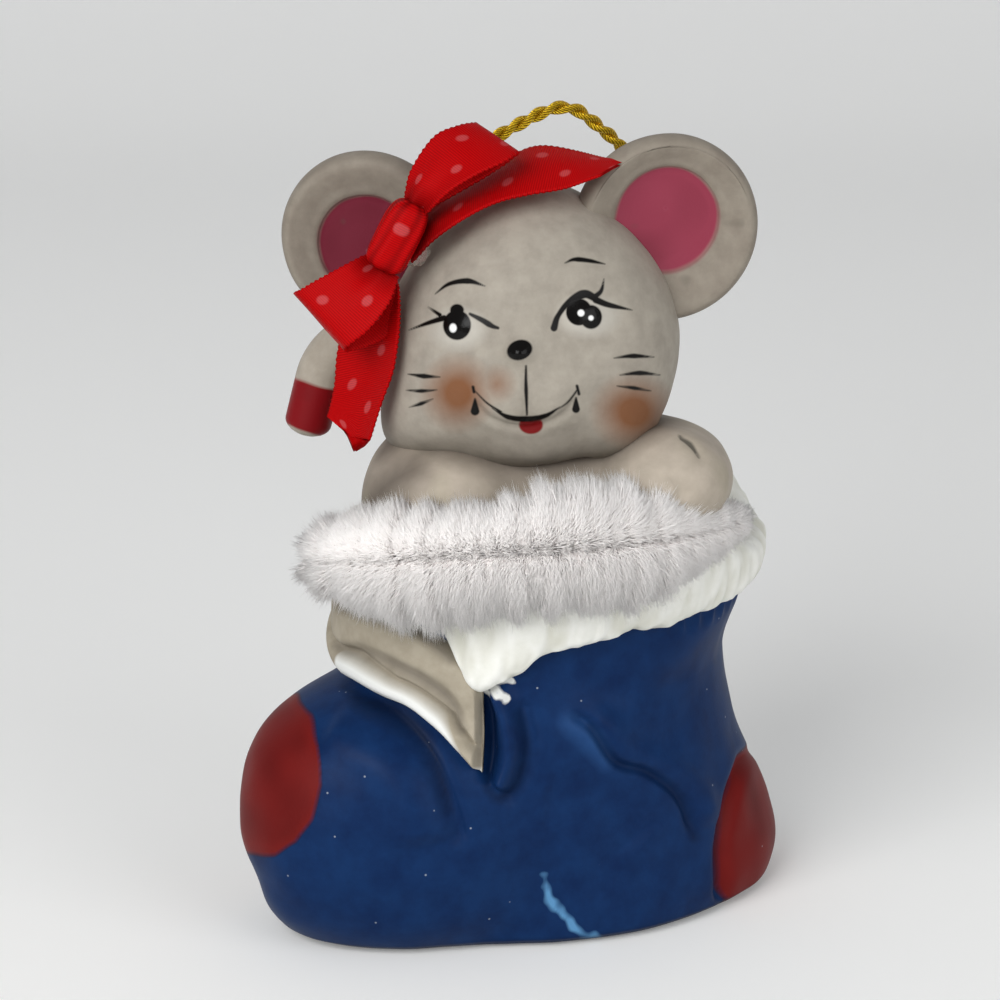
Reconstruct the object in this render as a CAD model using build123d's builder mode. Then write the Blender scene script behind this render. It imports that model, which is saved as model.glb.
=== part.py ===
"""Porcelain mouse sitting in a stocking: a hanging ornament with a ribbon bow, a chenille trim and a cord.

Frame: +Z up, the mouse faces -Y, the origin is the middle of the sole's resting face.
"Left" and "right" are the mouse's own: its left arm and ear are on the +X side.
"""

import os
from math import radians, tan

from build123d import *

# Stocking, millimetres
stocking_height = 48.0  # sole to the rim that the torso stands on
shaft_length = 55.0  # at the heel, the longest level section
shaft_width = 40.0
toe_length = 55.0
toe_width = 37.0
toe_height = 38.0  # of the whole round form, of which the sole cuts off the lowest part
toe_reach = 11.0  # from the middle of the sole to the middle of the toe
foot_turn = 26.7  # degrees, the heel is turned away from the viewer
wall = 3.0
vent_diameter = 7.0
vent_offset = 15.0  # from the middle of the sole towards the heel

# Evenly spaced level sections of the shaft, from heel to rim, as shares of its sizes
shaft_length_shares = (1, 0.99, 0.918, 0.902, 0.918)
shaft_width_shares = (1, 1.03, 1, 0.98, 1)
shaft_shift_shares = (0.109, 0.105, 0.053, 0.043, 0.049)  # of its length, towards the heel
toe_middle_height = 13.0  # where the toe is longest
# Second round form that squares the toe's upper side, shares of the toe's length, width and height
toe_crown_shares = (0.9, 0.96, 0.7)
toe_crown_rise = 7.0  # of its middle above the toe's middle
# Folds of the sculpted cloth, shares of the shaft's length and width and the stocking's height
slit_ridge_radius = 1.6
slit_ridge_shares = (
    (-0.032, -0.437, 0.67),
    (-0.03, -0.497, 0.628),
    (-0.027, -0.505, 0.554),
    (-0.038, -0.519, 0.505),
    (-0.041, -0.478, 0.466),
)
wrinkle_ridge_radius = 1.5
wrinkle_ridge_shares = (
    (0.098, -0.404, 0.659),
    (0.178, -0.414, 0.594),
    (0.236, -0.379, 0.508),
    (0.308, -0.317, 0.452),
    (0.387, -0.24, 0.354),
    (0.377, -0.221, 0.229),
)
crease_radius = 1.0
wrinkle_crease_shares = (
    (0.092, -0.483, 0.64),
    (0.149, -0.46, 0.59),
    (0.207, -0.432, 0.491),
    (0.286, -0.373, 0.434),
    (0.362, -0.309, 0.339),
    (0.394, -0.291, 0.232),
)
toe_crease_shares = (
    (-0.356, -0.388, 0.645),
    (-0.296, -0.465, 0.625),
    (-0.214, -0.562, 0.546),
    (-0.17, -0.605, 0.441),
    (-0.137, -0.608, 0.301),
)
heel_crease_shares = (
    (0.431, -0.138, 0.464),
    (0.432, -0.191, 0.344),
    (0.424, -0.24, 0.219),
    (0.39, -0.275, 0.049),
)

# Cuff and its lapel
cuff_length = 57.0
cuff_width = 45.5
cuff_drop = 17.0  # below the rim
cuff_rise = 6.5  # above the rim
cuff_hem_slope = 3.5  # degrees, the hem climbs towards the heel
cuff_hem_drop = 9.4  # the sloped hem's height below the rim on the middle line
cuff_height_shares = (0, 0.38, 0.66, 0.88, 1)
cuff_length_shares = (0.93, 0.985, 1, 0.956, 0.86)
cuff_width_shares = (0.925, 0.98, 1, 0.956, 0.835)
cuff_shift = 2.8  # towards the heel
# Dish inside the cuff's crest, shares of the cuff's length and width
rim_dish_shares = (0.9, 0.86)
rim_dish_height = 14.0
rim_dish_rise = 3.0  # of its middle above the cuff's top
lapel_width = 23.0
lapel_height = 19.0
lapel_thickness = 2.2
lapel_point_x = -5.1  # the point where the slit ends
lapel_point_drop = 24.2  # below the rim
# Outline of the lapel seen from the front, shares of its width (towards -X) and height from its point
lapel_outline_shares = (
    (0, 0),
    (0.12, 0.15),
    (0.34, 0.42),
    (0.74, 0.55),
    (1, 0.58),
    (1, 1),
    (0.22, 1),
    (0.01, 0.58),
)

# Torso
torso_length = 40.0
torso_width = 32.0
torso_height = 20.0
torso_x = 1.2
torso_y = 0.5
torso_lean = 2.5  # how far the neck leans forward
torso_height_shares = (0, 0.4, 0.75, 1)
torso_taper_shares = (1, 0.92, 0.76, 0.62)

# Head
head_width = 36.0
head_depth = 32.0
head_height = 35.6
head_x = 0.9
head_y = -4.0
head_lift = 27.4  # from the rim to the middle of the head
muzzle_width = 19.0
muzzle_height = 15.0
muzzle_depth = 12.0
muzzle_place_shares = (-0.01, -0.34, -0.12)  # of the head's width, depth and height
nose_diameter = 3.4
nose_place_shares = (-0.045, -0.495, 0.02)

# Ears
ear_dish_depth = 2.2
ear_thickness = 6.0
left_ear_diameter = 22.8
right_ear_diameter = 21.2
left_ear_dish_share = 0.56  # dish across the ear's diameter
right_ear_dish_share = 0.56
left_ear_place_shares = (0.45, 0.06, 0.335)  # of the head's width, depth and height
right_ear_place_shares = (-0.55, 0.06, 0.3)
ear_turn = 12.0  # degrees, each ear looks a little outwards
ear_rim_share = 0.5  # rolled rim's radius, of the ear's thickness

# Arms, each a forearm and a paw
left_forearm_sizes = (14.8, 19.0, 13.6)
left_paw_sizes = (14.4, 14.4, 12.0)
left_forearm_place_shares = (0.258, -0.16, 0.46)  # of the cuff's length and width, the torso's height
left_paw_place_shares = (0.258, -0.313, 0.56)
right_forearm_sizes = (14.4, 17.0, 18.0)
right_paw_sizes = (14.0, 12.0, 11.0)
right_forearm_place_shares = (-0.263, -0.182, 0.275)
right_paw_place_shares = (-0.198, -0.34, 0.425)

# Candy cane
cane_diameter = 6.0
cane_crook_radius = 8.0
cane_stem_x = -13.5  # at the rim
cane_y = 13.5
cane_stem_length = 12.5  # from the rim to where the crook starts
cane_tip_length = 7.4  # straight end of the crook
cane_lean = 14.0  # degrees, the stem leans towards the middle of the head

# Chenille stem along the front of the cuff
pile_height = 16.5
pile_depth = 8.0
wire_diameter = 0.8
wire_spacing = 1.0
trim_left_shares = (-0.518, -0.225, -0.11)  # of the cuff's length and width, the torso's height
trim_front_shares = (-0.026, -0.555, 0.22)
trim_right_shares = (0.43, -0.16, 0.17)
glue_dab_shares = (0.3, 0.5, 0.66)  # along the stem
glue_dab_diameter = 5.0
glue_dab_inset = 2.6  # from the wire towards the cuff

# Ribbon bow
ribbon_width = 10.0
ribbon_thickness = 0.4
knot_width = 5.0
knot_height = 8.6
knot_depth = 4.0
knot_round = 1.4
knot_place_shares = (-0.45, -0.26, 0.39)  # of the head's width, depth and height
upper_loop_length = 15.5
lower_loop_length = 13.5
loop_puff = 5.0  # across the loop's belly
loop_belly_share = 0.78  # where the belly is, along the loop
loop_gap = 1.0  # between the loop's two layers at the knot
loop_swell = 2.1  # half way to the belly, on each side
upper_loop_lift = 38.0  # degrees above level
lower_loop_lift = 229.0
upper_tail_length = 25.0
upper_tail_turn = 10.0  # degrees above level
upper_tail_tilt = 52.0  # degrees, the ribbon leans back over the crown
upper_tail_start = 4.5  # from the knot's middle
upper_tail_gap = 3.4  # above the knot's middle
upper_tail_point_share = 0.3  # how much of the end is cut to a point
lower_tail_length = 24.0
lower_tail_turn = 254.0
lower_tail_start = 5.2
lower_tail_front = 2.4  # in front of the knot's middle
lower_tail_cut = 4.0  # how much longer one corner of the cut end is
bow_glue_sizes = (7.0, 6.0, 7.0)
bow_glue_place_shares = (-0.345, -0.19, 0.345)

# Hanging cord: its route over the crown from right hole to left hole, set by hand from the head's middle
cord_diameter = 1.6
cord_route = [
    (-3.4, 3.0, 18.3),
    (-5.5, 2.8, 22.0),
    (-1.9, 4.0, 24.0),
    (4.3, 6.2, 26.6),
    (8.7, 8.0, 22.8),
    (12.5, 9.5, 19.2),
    (9.4, 8.6, 13.8),
]
cord_bend_share = 0.45  # of the shorter run, taken up by each arc
cord_end_share = 1.06  # round end the loop turns on, of the cord's diameter
cord_hole_clearance = 0.3
cord_seat_clearance = 0.3
stopper_diameter = 4.2

overrun = 5.0  # how far cutting shapes reach past what they cut

os.makedirs("parts", exist_ok=True)

# Places worked out from the sizes above
head_centre = Vector(head_x, head_y, stocking_height + head_lift)
head_sizes = (head_width, head_depth, head_height)
heel_axis = Vector(1, 0, 0).rotate(Axis.Z, foot_turn)


def on_head(shares):
    """A place given as shares of the head's width, depth and height from its middle."""
    return head_centre + Vector(*(share * size for share, size in zip(shares, head_sizes)))


def oval_loft(heights, lengths, widths, shifts):
    """A smooth solid through level ellipses whose long axis points to the heel."""
    with BuildPart() as form:
        for height, length, width, shift in zip(heights, lengths, widths, shifts):
            with BuildSketch(Plane(heel_axis * shift + Vector(0, 0, height), heel_axis)):
                Ellipse(length / 2, width / 2)
        loft()
    return form.part


def egg(centre, sizes):
    """An ellipsoid of the given three diameters, its seam at the back."""
    ball = Rot(Z=90) * Sphere(1 / 2, mode=Mode.PRIVATE)
    return Pos(centre) * scale(ball, by=tuple(sizes), mode=Mode.PRIVATE)


def keep(builder, label):
    """Names a finished piece and writes it."""
    builder.part.label = label
    export_step(builder.part, f"parts/{label}.step")


# Solid forms that several pieces share a face with
shaft_steps = len(shaft_length_shares) - 1


def shaft_solid(grow, floor):
    """The shaft as level ellipses from the heel to the rim, grown by a distance all round."""
    with BuildPart() as form:
        sections = zip(shaft_length_shares, shaft_width_shares, shaft_shift_shares)
        for step, (length, width, shift) in enumerate(sections):
            height = floor + step / shaft_steps * (stocking_height - floor)
            with BuildSketch(Plane(heel_axis * (shift * shaft_length) + Vector(0, 0, height), heel_axis)):
                Ellipse(length * shaft_length / 2 + grow, width * shaft_width / 2 + grow)
        loft()
    return form.part


def toe_solid(grow, floor):
    """The toe: a large egg and a flatter one in its upper side, which the floor cuts flat."""
    sizes = [size + 2 * grow for size in (toe_length, toe_width, toe_height)]
    crown_sizes = [share * size for share, size in zip(toe_crown_shares, sizes)]
    middle = Vector(0, 0, toe_middle_height) - heel_axis * toe_reach
    with BuildPart() as ball:
        add(Plane(middle, heel_axis) * egg((0, 0, 0), sizes))
        add(Plane(middle, heel_axis) * egg((0, 0, toe_crown_rise), crown_sizes))
        split(bisect_by=Plane.XY.offset(floor), keep=Keep.TOP)
    return ball.part


shaft_form = shaft_solid(0, 0)
toe_form = toe_solid(0, 0)

torso_heights = [stocking_height + share * torso_height for share in torso_height_shares]


def torso_loft(inset):
    """The chest as level ellipses that shrink and lean forward towards the neck."""
    with BuildPart() as form:
        for height, rise, taper in zip(torso_heights, torso_height_shares, torso_taper_shares):
            with BuildSketch(Plane((torso_x, torso_y - rise * torso_lean, height))):
                Ellipse(taper * torso_length / 2 - inset, taper * torso_width / 2 - inset)
        loft()
    return form.part


torso_form = torso_loft(0)
head_form = egg(head_centre, head_sizes)
muzzle_form = egg(on_head(muzzle_place_shares), (muzzle_width, muzzle_depth, muzzle_height))
nose_form = egg(on_head(nose_place_shares), (nose_diameter, nose_diameter, nose_diameter))

cuff_bottom = stocking_height - cuff_drop
cuff_height = cuff_drop + cuff_rise
rim_dish_middle = heel_axis * cuff_shift + Vector(0, 0, cuff_bottom + cuff_height + rim_dish_rise)
rim_dish_sizes = (rim_dish_shares[0] * cuff_length, rim_dish_shares[1] * cuff_width, rim_dish_height)
cuff_roll = oval_loft(
    [cuff_bottom + share * cuff_height for share in cuff_height_shares],
    [share * cuff_length for share in cuff_length_shares],
    [share * cuff_width for share in cuff_width_shares],
    [cuff_shift for share in cuff_height_shares],
)
cuff_form = cuff_roll - Plane(rim_dish_middle, heel_axis) * egg((0, 0, 0), rim_dish_sizes)
hem_plane = Plane((0, 0, stocking_height - cuff_hem_drop)).rotated((0, -cuff_hem_slope, 0))

# Prism in front of the stocking that cuts the lapel's outline
with BuildPart() as lapel_prism:
    with BuildSketch(Plane((lapel_point_x, 0, stocking_height - lapel_point_drop), (1, 0, 0), (0, -1, 0))):
        with BuildLine():
            Polyline(
                *[(-across * lapel_width, up * lapel_height) for across, up in lapel_outline_shares],
                close=True,
            )
        make_face()
    extrude(amount=cuff_width)

def fold(line_shares, radius):
    """A round bead along a line on the stocking."""
    points = [(x * shaft_length, y * shaft_width, z * stocking_height) for x, y, z in line_shares]
    with BuildPart() as bead:
        with BuildLine() as line:
            Spline(*points)
        with BuildSketch(Plane(line.line @ 0, z_dir=line.line % 0)):
            Circle(radius)
        sweep()
    return bead.part


ridges = [fold(slit_ridge_shares, slit_ridge_radius), fold(wrinkle_ridge_shares, wrinkle_ridge_radius)]
crease_lines = (wrinkle_crease_shares, toe_crease_shares, heel_crease_shares)
creases = [fold(line_shares, crease_radius) for line_shares in crease_lines]

# Stocking: a hollow casting with ridges and creases of cloth, a closed sole and a vent
with BuildPart() as stocking_shell:
    add([shaft_form, toe_form, *ridges])
    add(creases, mode=Mode.SUBTRACT)
    add([shaft_solid(-wall, wall), toe_solid(-wall, wall)], mode=Mode.SUBTRACT)
    with Locations(heel_axis * vent_offset):
        Cylinder(vent_diameter / 2, 2 * wall + overrun, mode=Mode.SUBTRACT)
keep(stocking_shell, "stocking_shell")

# Cuff: a moulded roll round the mouth with a sloped hem, open in front where the lapel lies
with BuildPart() as stocking_cuff:
    add(cuff_form)
    split(bisect_by=hem_plane, keep=Keep.TOP)
    add([shaft_form, toe_form, torso_form, lapel_prism.part], mode=Mode.SUBTRACT)
keep(stocking_cuff, "stocking_cuff")

# Lapel: the corner of the cuff folded over beside the slit
with BuildPart() as cuff_lapel:
    add(shaft_solid(lapel_thickness, 0))
    add(lapel_prism.part, mode=Mode.INTERSECT)
    add([shaft_form, toe_form], mode=Mode.SUBTRACT)
keep(cuff_lapel, "cuff_lapel")

# Torso: hollow, standing on the stocking's rim, its neck cut to the head
with BuildPart() as mouse_torso:
    add(torso_form)
    add([torso_loft(wall), head_form], mode=Mode.SUBTRACT)
keep(mouse_torso, "mouse_torso")

# Head: hollow, with muzzle and nose, and a hole for each end of the cord
def head_reach(direction, inset):
    """Distance from the head's middle to its surface along a direction, or to its inner wall."""
    axes = [size / 2 - inset for size in head_sizes]
    return sum((part / axis) ** 2 for part, axis in zip(direction, axes)) ** -0.5


cord_points = [head_centre + Vector(*point) for point in cord_route]
for end in (0, -1):
    outwards = (cord_points[end] - head_centre).normalized()
    seat = head_reach(outwards, 0) + cord_diameter / 2 + cord_seat_clearance
    cord_points[end] = head_centre + outwards * seat
cord_ends = [cord_points[0], cord_points[-1]]

head_cavity = egg(head_centre, [size - 2 * wall for size in head_sizes])

with BuildPart() as muzzle:
    add(muzzle_form)
    add(head_cavity, mode=Mode.SUBTRACT)

with BuildPart() as head_shell:
    add(head_form)
    add(head_cavity, mode=Mode.SUBTRACT)
    add([muzzle.part, nose_form])
    for end in cord_ends:
        outwards = (end - head_centre).normalized()
        with Locations(Plane(head_centre + outwards * head_reach(outwards, 0), z_dir=outwards)):
            Cylinder(cord_diameter / 2 + cord_hole_clearance, 2 * wall + overrun, mode=Mode.SUBTRACT)
keep(head_shell, "head_shell")


def ear(place_shares, diameter, dish_share, turn):
    """A cupped ear: a thick disc with a rolled rim and a dished front, cut to the head."""
    rim = ear_rim_share * ear_thickness
    dish = dish_share * diameter / 2
    facing = Plane(on_head(place_shares), x_dir=(1, 0, 0), z_dir=(0, -1, 0)).rotated((0, 0, turn))
    with BuildPart() as cup:
        with BuildSketch(Plane(facing.origin, x_dir=facing.x_dir, z_dir=facing.y_dir)):
            with BuildLine():
                back = (0, ear_thickness / 2)
                rim_back = (diameter / 2 - rim, ear_thickness / 2)
                rim_front = (diameter / 2 - rim, -ear_thickness / 2)
                dish_edge = (dish, ear_dish_depth - ear_thickness / 2)
                dish_middle = (0, ear_dish_depth - ear_thickness / 2)
                Line(dish_middle, dish_edge)
                Line(dish_edge, rim_front)
                ThreePointArc(rim_front, (diameter / 2, 0), rim_back)
                Line(rim_back, back)
                Line(back, dish_middle)
            make_face()
        revolve(axis=Axis(facing.origin, facing.z_dir))
        add(head_form, mode=Mode.SUBTRACT)
    return cup


left_ear = ear(left_ear_place_shares, left_ear_diameter, left_ear_dish_share, ear_turn)
keep(left_ear, "left_ear")
right_ear = ear(right_ear_place_shares, right_ear_diameter, right_ear_dish_share, -ear_turn)
keep(right_ear, "right_ear")


rim_middle = heel_axis * cuff_shift + Vector(0, 0, stocking_height)
rim_sizes = (cuff_length, cuff_width, torso_height)


def on_rim(shares):
    """A place given as shares of the cuff's length and width and the torso's height."""
    return rim_middle + Vector(*(share * size for share, size in zip(shares, rim_sizes)))


def arm(forearm_place, forearm_sizes, paw_place, paw_sizes):
    """A forearm and a paw that lie on the cuff, cut to the torso, the head and the cuff."""
    with BuildPart() as limb:
        add([egg(on_rim(forearm_place), forearm_sizes), egg(on_rim(paw_place), paw_sizes)])
        add([torso_form, head_form, muzzle_form, cuff_form], mode=Mode.SUBTRACT)
    return limb


left_arm = arm(left_forearm_place_shares, left_forearm_sizes, left_paw_place_shares, left_paw_sizes)
keep(left_arm, "left_arm")
right_arm = arm(right_forearm_place_shares, right_forearm_sizes, right_paw_place_shares, right_paw_sizes)
keep(right_arm, "right_arm")

# Candy cane: its stem rises from the cuff behind the head and the crook turns to the right arm's side
cane_up = Vector(0, 0, 1).rotate(Axis.Y, cane_lean)
cane_side = Vector(-1, 0, 0).rotate(Axis.Y, cane_lean)
cane_foot = Vector(cane_stem_x, cane_y, stocking_height)
crook_start = cane_foot + cane_up * cane_stem_length
crook_end = crook_start + cane_side * (2 * cane_crook_radius)

with BuildPart() as candy_cane:
    with BuildLine():
        Line(cane_foot, crook_start)
        ThreePointArc(crook_start, crook_start + (cane_side + cane_up) * cane_crook_radius, crook_end)
        Line(crook_end, crook_end - cane_up * cane_tip_length)
    with BuildSketch(Plane(cane_foot, z_dir=cane_up)):
        Circle(cane_diameter / 2)
    sweep()
    add([cuff_form, torso_form, head_form, right_ear.part], mode=Mode.SUBTRACT)
keep(candy_cane, "candy_cane")

# Chenille stem: two wires and the flattened pile round them, glued along the front of the cuff
with BuildLine() as trim_path:
    ThreePointArc(on_rim(trim_left_shares), on_rim(trim_front_shares), on_rim(trim_right_shares))
trim_line = trim_path.line
trim_start = Plane(trim_line @ 0, x_dir=(0, 0, 1), z_dir=trim_line % 0)

with BuildPart() as chenille_wire:
    with BuildSketch(trim_start):
        with Locations((0, wire_spacing / 2), (0, -wire_spacing / 2)):
            Circle(wire_diameter / 2)
    sweep(path=trim_line)
keep(chenille_wire, "chenille_wire")

with BuildPart() as trim_glue:
    for share in glue_dab_shares:
        on_wire = trim_line @ share
        inwards = Vector(rim_middle.X - on_wire.X, rim_middle.Y - on_wire.Y, 0).normalized()
        with Locations(on_wire + inwards * glue_dab_inset):
            Sphere(glue_dab_diameter / 2)
    for neighbour in (cuff_form, chenille_wire.part, left_arm.part, right_arm.part):
        add(neighbour, mode=Mode.SUBTRACT)
keep(trim_glue, "trim_glue")

with BuildPart() as chenille_pile:
    with BuildSketch(trim_start):
        Ellipse(pile_height / 2, pile_depth / 2)
    sweep(path=trim_line)
    add([cuff_form, cuff_lapel.part, left_arm.part, right_arm.part, head_form], mode=Mode.SUBTRACT)
    add([chenille_wire.part, trim_glue.part], mode=Mode.SUBTRACT)
keep(chenille_pile, "chenille_pile")

# Ribbon bow beside the right ear
knot_centre = on_head(knot_place_shares)

with BuildPart() as bow_knot:
    with Locations(knot_centre):
        Box(knot_width, knot_depth, knot_height)
    fillet(bow_knot.edges(), knot_round)
keep(bow_knot, "bow_knot")


def bow_loop(length, lift):
    """A loop of ribbon that leaves the knot at an angle above level: two layers that meet in a fold."""
    along = Vector(1, 0, 0).rotate(Axis.Y, -lift)
    across = along.cross(Vector(0, -1, 0))
    belly = loop_belly_share * length
    with BuildPart() as loop:
        with BuildSketch(Plane(knot_centre - across * (ribbon_width / 2), x_dir=along, z_dir=across)):
            with BuildLine():
                start = knot_width / 2
                middle = (start + belly) / 2
                Spline((start, loop_gap / 2), (middle, loop_swell), (belly, loop_puff / 2))
                ThreePointArc((belly, loop_puff / 2), (length, 0), (belly, -loop_puff / 2))
                Spline((belly, -loop_puff / 2), (middle, -loop_swell), (start, -loop_gap / 2))
            trace(line_width=ribbon_thickness)
        extrude(amount=ribbon_width)
        add([head_form, left_ear.part, right_ear.part, bow_knot.part], mode=Mode.SUBTRACT)
    return loop


bow_loop_upper = bow_loop(upper_loop_length, upper_loop_lift)
keep(bow_loop_upper, "bow_loop_upper")
bow_loop_lower = bow_loop(lower_loop_length, lower_loop_lift)
keep(bow_loop_lower, "bow_loop_lower")


def bow_tail(start, along, across, outline):
    """A flat end of the ribbon: an outline drawn along and across it, as thick as the ribbon."""
    with BuildPart() as tail:
        with BuildSketch(Plane(start, x_dir=along, z_dir=along.cross(across))):
            with BuildLine():
                Polyline(*outline, close=True)
            make_face()
        extrude(amount=ribbon_thickness / 2, both=True)
        add([head_form, left_ear.part, right_ear.part, bow_knot.part], mode=Mode.SUBTRACT)
        add([bow_loop_upper.part, bow_loop_lower.part], mode=Mode.SUBTRACT)
    return tail


upper_along = Vector(1, 0, 0).rotate(Axis.Y, -upper_tail_turn)
upper_across = Vector(0, 0, 1).rotate(Axis.X, -upper_tail_tilt)
upper_across = (upper_across - upper_along * upper_across.dot(upper_along)).normalized()
upper_taper = (1 - upper_tail_point_share) * upper_tail_length
bow_tail_upper = bow_tail(
    knot_centre + upper_along * upper_tail_start + Vector(0, 0, upper_tail_gap),
    upper_along,
    upper_across,
    [
        (0, -ribbon_width / 2),
        (upper_taper, -ribbon_width / 2),
        (upper_tail_length, 0),
        (upper_taper, ribbon_width / 2),
        (0, ribbon_width / 2),
    ],
)
keep(bow_tail_upper, "bow_tail_upper")

lower_along = Vector(1, 0, 0).rotate(Axis.Y, -lower_tail_turn)
lower_across = lower_along.cross(Vector(0, -1, 0))
bow_tail_lower = bow_tail(
    knot_centre + lower_along * lower_tail_start + Vector(0, -lower_tail_front, 0),
    lower_along,
    lower_across,
    [
        (0, -ribbon_width / 2),
        (lower_tail_length, -ribbon_width / 2),
        (lower_tail_length - lower_tail_cut, ribbon_width / 2),
        (0, ribbon_width / 2),
    ],
)
keep(bow_tail_lower, "bow_tail_lower")

with BuildPart() as bow_glue:
    add(egg(on_head(bow_glue_place_shares), bow_glue_sizes))
    add([head_form, right_ear.part, bow_knot.part], mode=Mode.SUBTRACT)
    add([bow_loop_upper.part, bow_loop_lower.part], mode=Mode.SUBTRACT)
    add([bow_tail_upper.part, bow_tail_lower.part], mode=Mode.SUBTRACT)
keep(bow_glue, "bow_glue")

# Hanging cord: the loop above the crown, round ended where it turns on its two holes
cord_runs = [after - before for before, after in zip(cord_points, cord_points[1:])]
cord_turns = [one.get_angle(two) for one, two in zip(cord_runs, cord_runs[1:])]
cord_radii = [
    cord_bend_share * min(one.length, two.length) / tan(radians(turn) / 2)
    for one, two, turn in zip(cord_runs, cord_runs[1:], cord_turns)
]
print("cord points", [tuple(round(value, 2) for value in point) for point in cord_points])
print("cord radii", [round(radius, 1) for radius in cord_radii])

with BuildPart() as hanging_cord:
    with BuildLine() as cord_path:
        FilletPolyline(*cord_points, radius=cord_radii)
    with BuildSketch(Plane(cord_points[0], z_dir=cord_runs[0])):
        Circle(cord_diameter / 2)
    sweep()
    with Locations(*cord_ends):
        Sphere(cord_end_share * cord_diameter / 2)
keep(hanging_cord, "hanging_cord")
print("cord length", round(sum(edge.length for edge in cord_path.edges()), 1))

# The cord's two ends inside the head, each with its stopper knot under the crown
with BuildPart() as cord_knots:
    for end in cord_ends:
        outwards = (end - head_centre).normalized()
        leg_top = head_reach(outwards, 0)
        stopper = head_reach(outwards, wall) - stopper_diameter / 2 - cord_seat_clearance
        leg_middle = head_centre + outwards * ((leg_top + stopper) / 2)
        with Locations(Plane(leg_middle, z_dir=outwards)):
            Cylinder(cord_diameter / 2, leg_top - stopper)
        with Locations(head_centre + outwards * stopper):
            Sphere(stopper_diameter / 2)
keep(cord_knots, "cord_knots")
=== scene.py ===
# %% [markdown]
# # A porcelain mouse in a stocking
# The CAD model gives the frame: every surface below sits where its CAD piece sits, in the same axes,
# and only adds what CAD can't draw well, which is moulded relief, paint, fibres, ribbon and cord.
# Sizes are in millimetres until a mesh is made, where they become metres.

import bpy
import numpy as np
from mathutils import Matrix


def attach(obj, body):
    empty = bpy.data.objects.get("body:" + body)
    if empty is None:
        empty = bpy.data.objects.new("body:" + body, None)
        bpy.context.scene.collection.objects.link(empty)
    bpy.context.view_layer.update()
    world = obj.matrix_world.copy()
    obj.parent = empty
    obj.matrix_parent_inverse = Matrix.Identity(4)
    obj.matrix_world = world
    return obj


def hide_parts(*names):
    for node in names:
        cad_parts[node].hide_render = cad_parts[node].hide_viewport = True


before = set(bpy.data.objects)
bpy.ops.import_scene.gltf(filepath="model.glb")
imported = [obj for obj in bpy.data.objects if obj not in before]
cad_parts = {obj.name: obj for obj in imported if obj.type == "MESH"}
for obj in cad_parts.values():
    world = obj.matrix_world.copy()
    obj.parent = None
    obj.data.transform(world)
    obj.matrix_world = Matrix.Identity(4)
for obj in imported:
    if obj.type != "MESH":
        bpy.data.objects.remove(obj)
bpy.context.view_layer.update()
MM = 0.001

# %% [markdown]
# ## The camera
# The picture was taken from a little above with a long lens. A pinhole camera 460 mm from the middle of
# the figure, looking down by 17 degrees, puts 8 pixels on each millimetre there. The same numbers tell
# where a point falls in the picture, so that paint can be laid out in picture places.

# %% Camera
VIEW_DROP = np.radians(17.0)
VIEW_DISTANCE = 460.0
VIEW_TARGET = np.array([-2.9, 0.0, 51.9])
PIXELS_PER_MM = 8.0
PICTURE_SIDE = 1000
SENSOR = 36.0

focal_pixels = PIXELS_PER_MM * VIEW_DISTANCE
view_right = np.array([1.0, 0.0, 0.0])
view_ahead = np.array([0.0, np.cos(VIEW_DROP), -np.sin(VIEW_DROP)])
view_up = np.cross(view_right, view_ahead)
eye = VIEW_TARGET - VIEW_DISTANCE * view_ahead


def photo_pixels(points):
    """Where points fall in the picture: their sideways and upward offsets from the view line, over their
    distance ahead, times the focal length in pixels."""
    offset = points - eye
    scale = focal_pixels / (offset @ view_ahead)
    across = PICTURE_SIDE / 2 + scale * (offset @ view_right)
    down = PICTURE_SIDE / 2 - scale * (offset @ view_up)
    return np.stack([across, down], axis=-1)


def view_rays(pixels):
    """Directions from the eye through picture places: one step ahead plus the place's offset over the focal
    length."""
    offset = (np.asarray(pixels, float)[..., :2] - PICTURE_SIDE / 2) / focal_pixels
    return view_ahead + offset[..., :1] * view_right - offset[..., 1:] * view_up


def placed(places):
    """Points from (across, down, y): the view ray through each picture place, taken to that depth y."""
    places = np.asarray(places, float)
    rays = view_rays(places)
    return eye + rays * ((places[..., 2:] - eye[1]) / rays[..., 1:2])


camera_data = bpy.data.cameras.new("camera")
camera_data.sensor_width = SENSOR
camera_data.lens = SENSOR * focal_pixels / PICTURE_SIDE
camera = bpy.data.objects.new("camera", camera_data)
camera.location = eye * MM
camera.rotation_euler = (np.pi / 2 - VIEW_DROP, 0, 0)
bpy.context.scene.collection.objects.link(camera)
bpy.context.scene.camera = camera
print("lens", round(camera_data.lens, 1), "mm, eye at", eye.round(1))

# %% [markdown]
# ## Tools for surfaces
# Each piece is a grid of points worked out by numpy. One function turns a grid into a closed mesh, others
# give smooth curves, soft random lumps, and distances to brush strokes in the picture. Sculpting by hand
# would be quicker once, but it can't be run again or resized.


# %% Directions, curves and lumps
def unit(vectors, guard=0.0):
    """Directions of length 1: vectors over their own length, plus a guard where that may be nothing."""
    return vectors / (np.linalg.norm(vectors, axis=-1, keepdims=True) + guard)


def round_angles(count):
    """Angles evenly round a full turn."""
    return np.linspace(0, 2 * np.pi, count, endpoint=False)


def turned(angle, first, second):
    """Directions at an angle from a first axis to a second: cosine of one plus sine of the other."""
    return np.cos(angle)[..., None] * first + np.sin(angle)[..., None] * second


def ball_rays(columns, rows, pole_gap):
    """Directions all round a point, in rings from just under straight up to just over straight down."""
    drops = np.linspace(pole_gap, np.pi - pole_gap, rows)
    turn, drop = np.meshgrid(round_angles(columns), drops, indexing="xy")
    return np.stack([np.sin(drop) * np.cos(turn), np.sin(drop) * np.sin(turn), np.cos(drop)], axis=-1)


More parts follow.
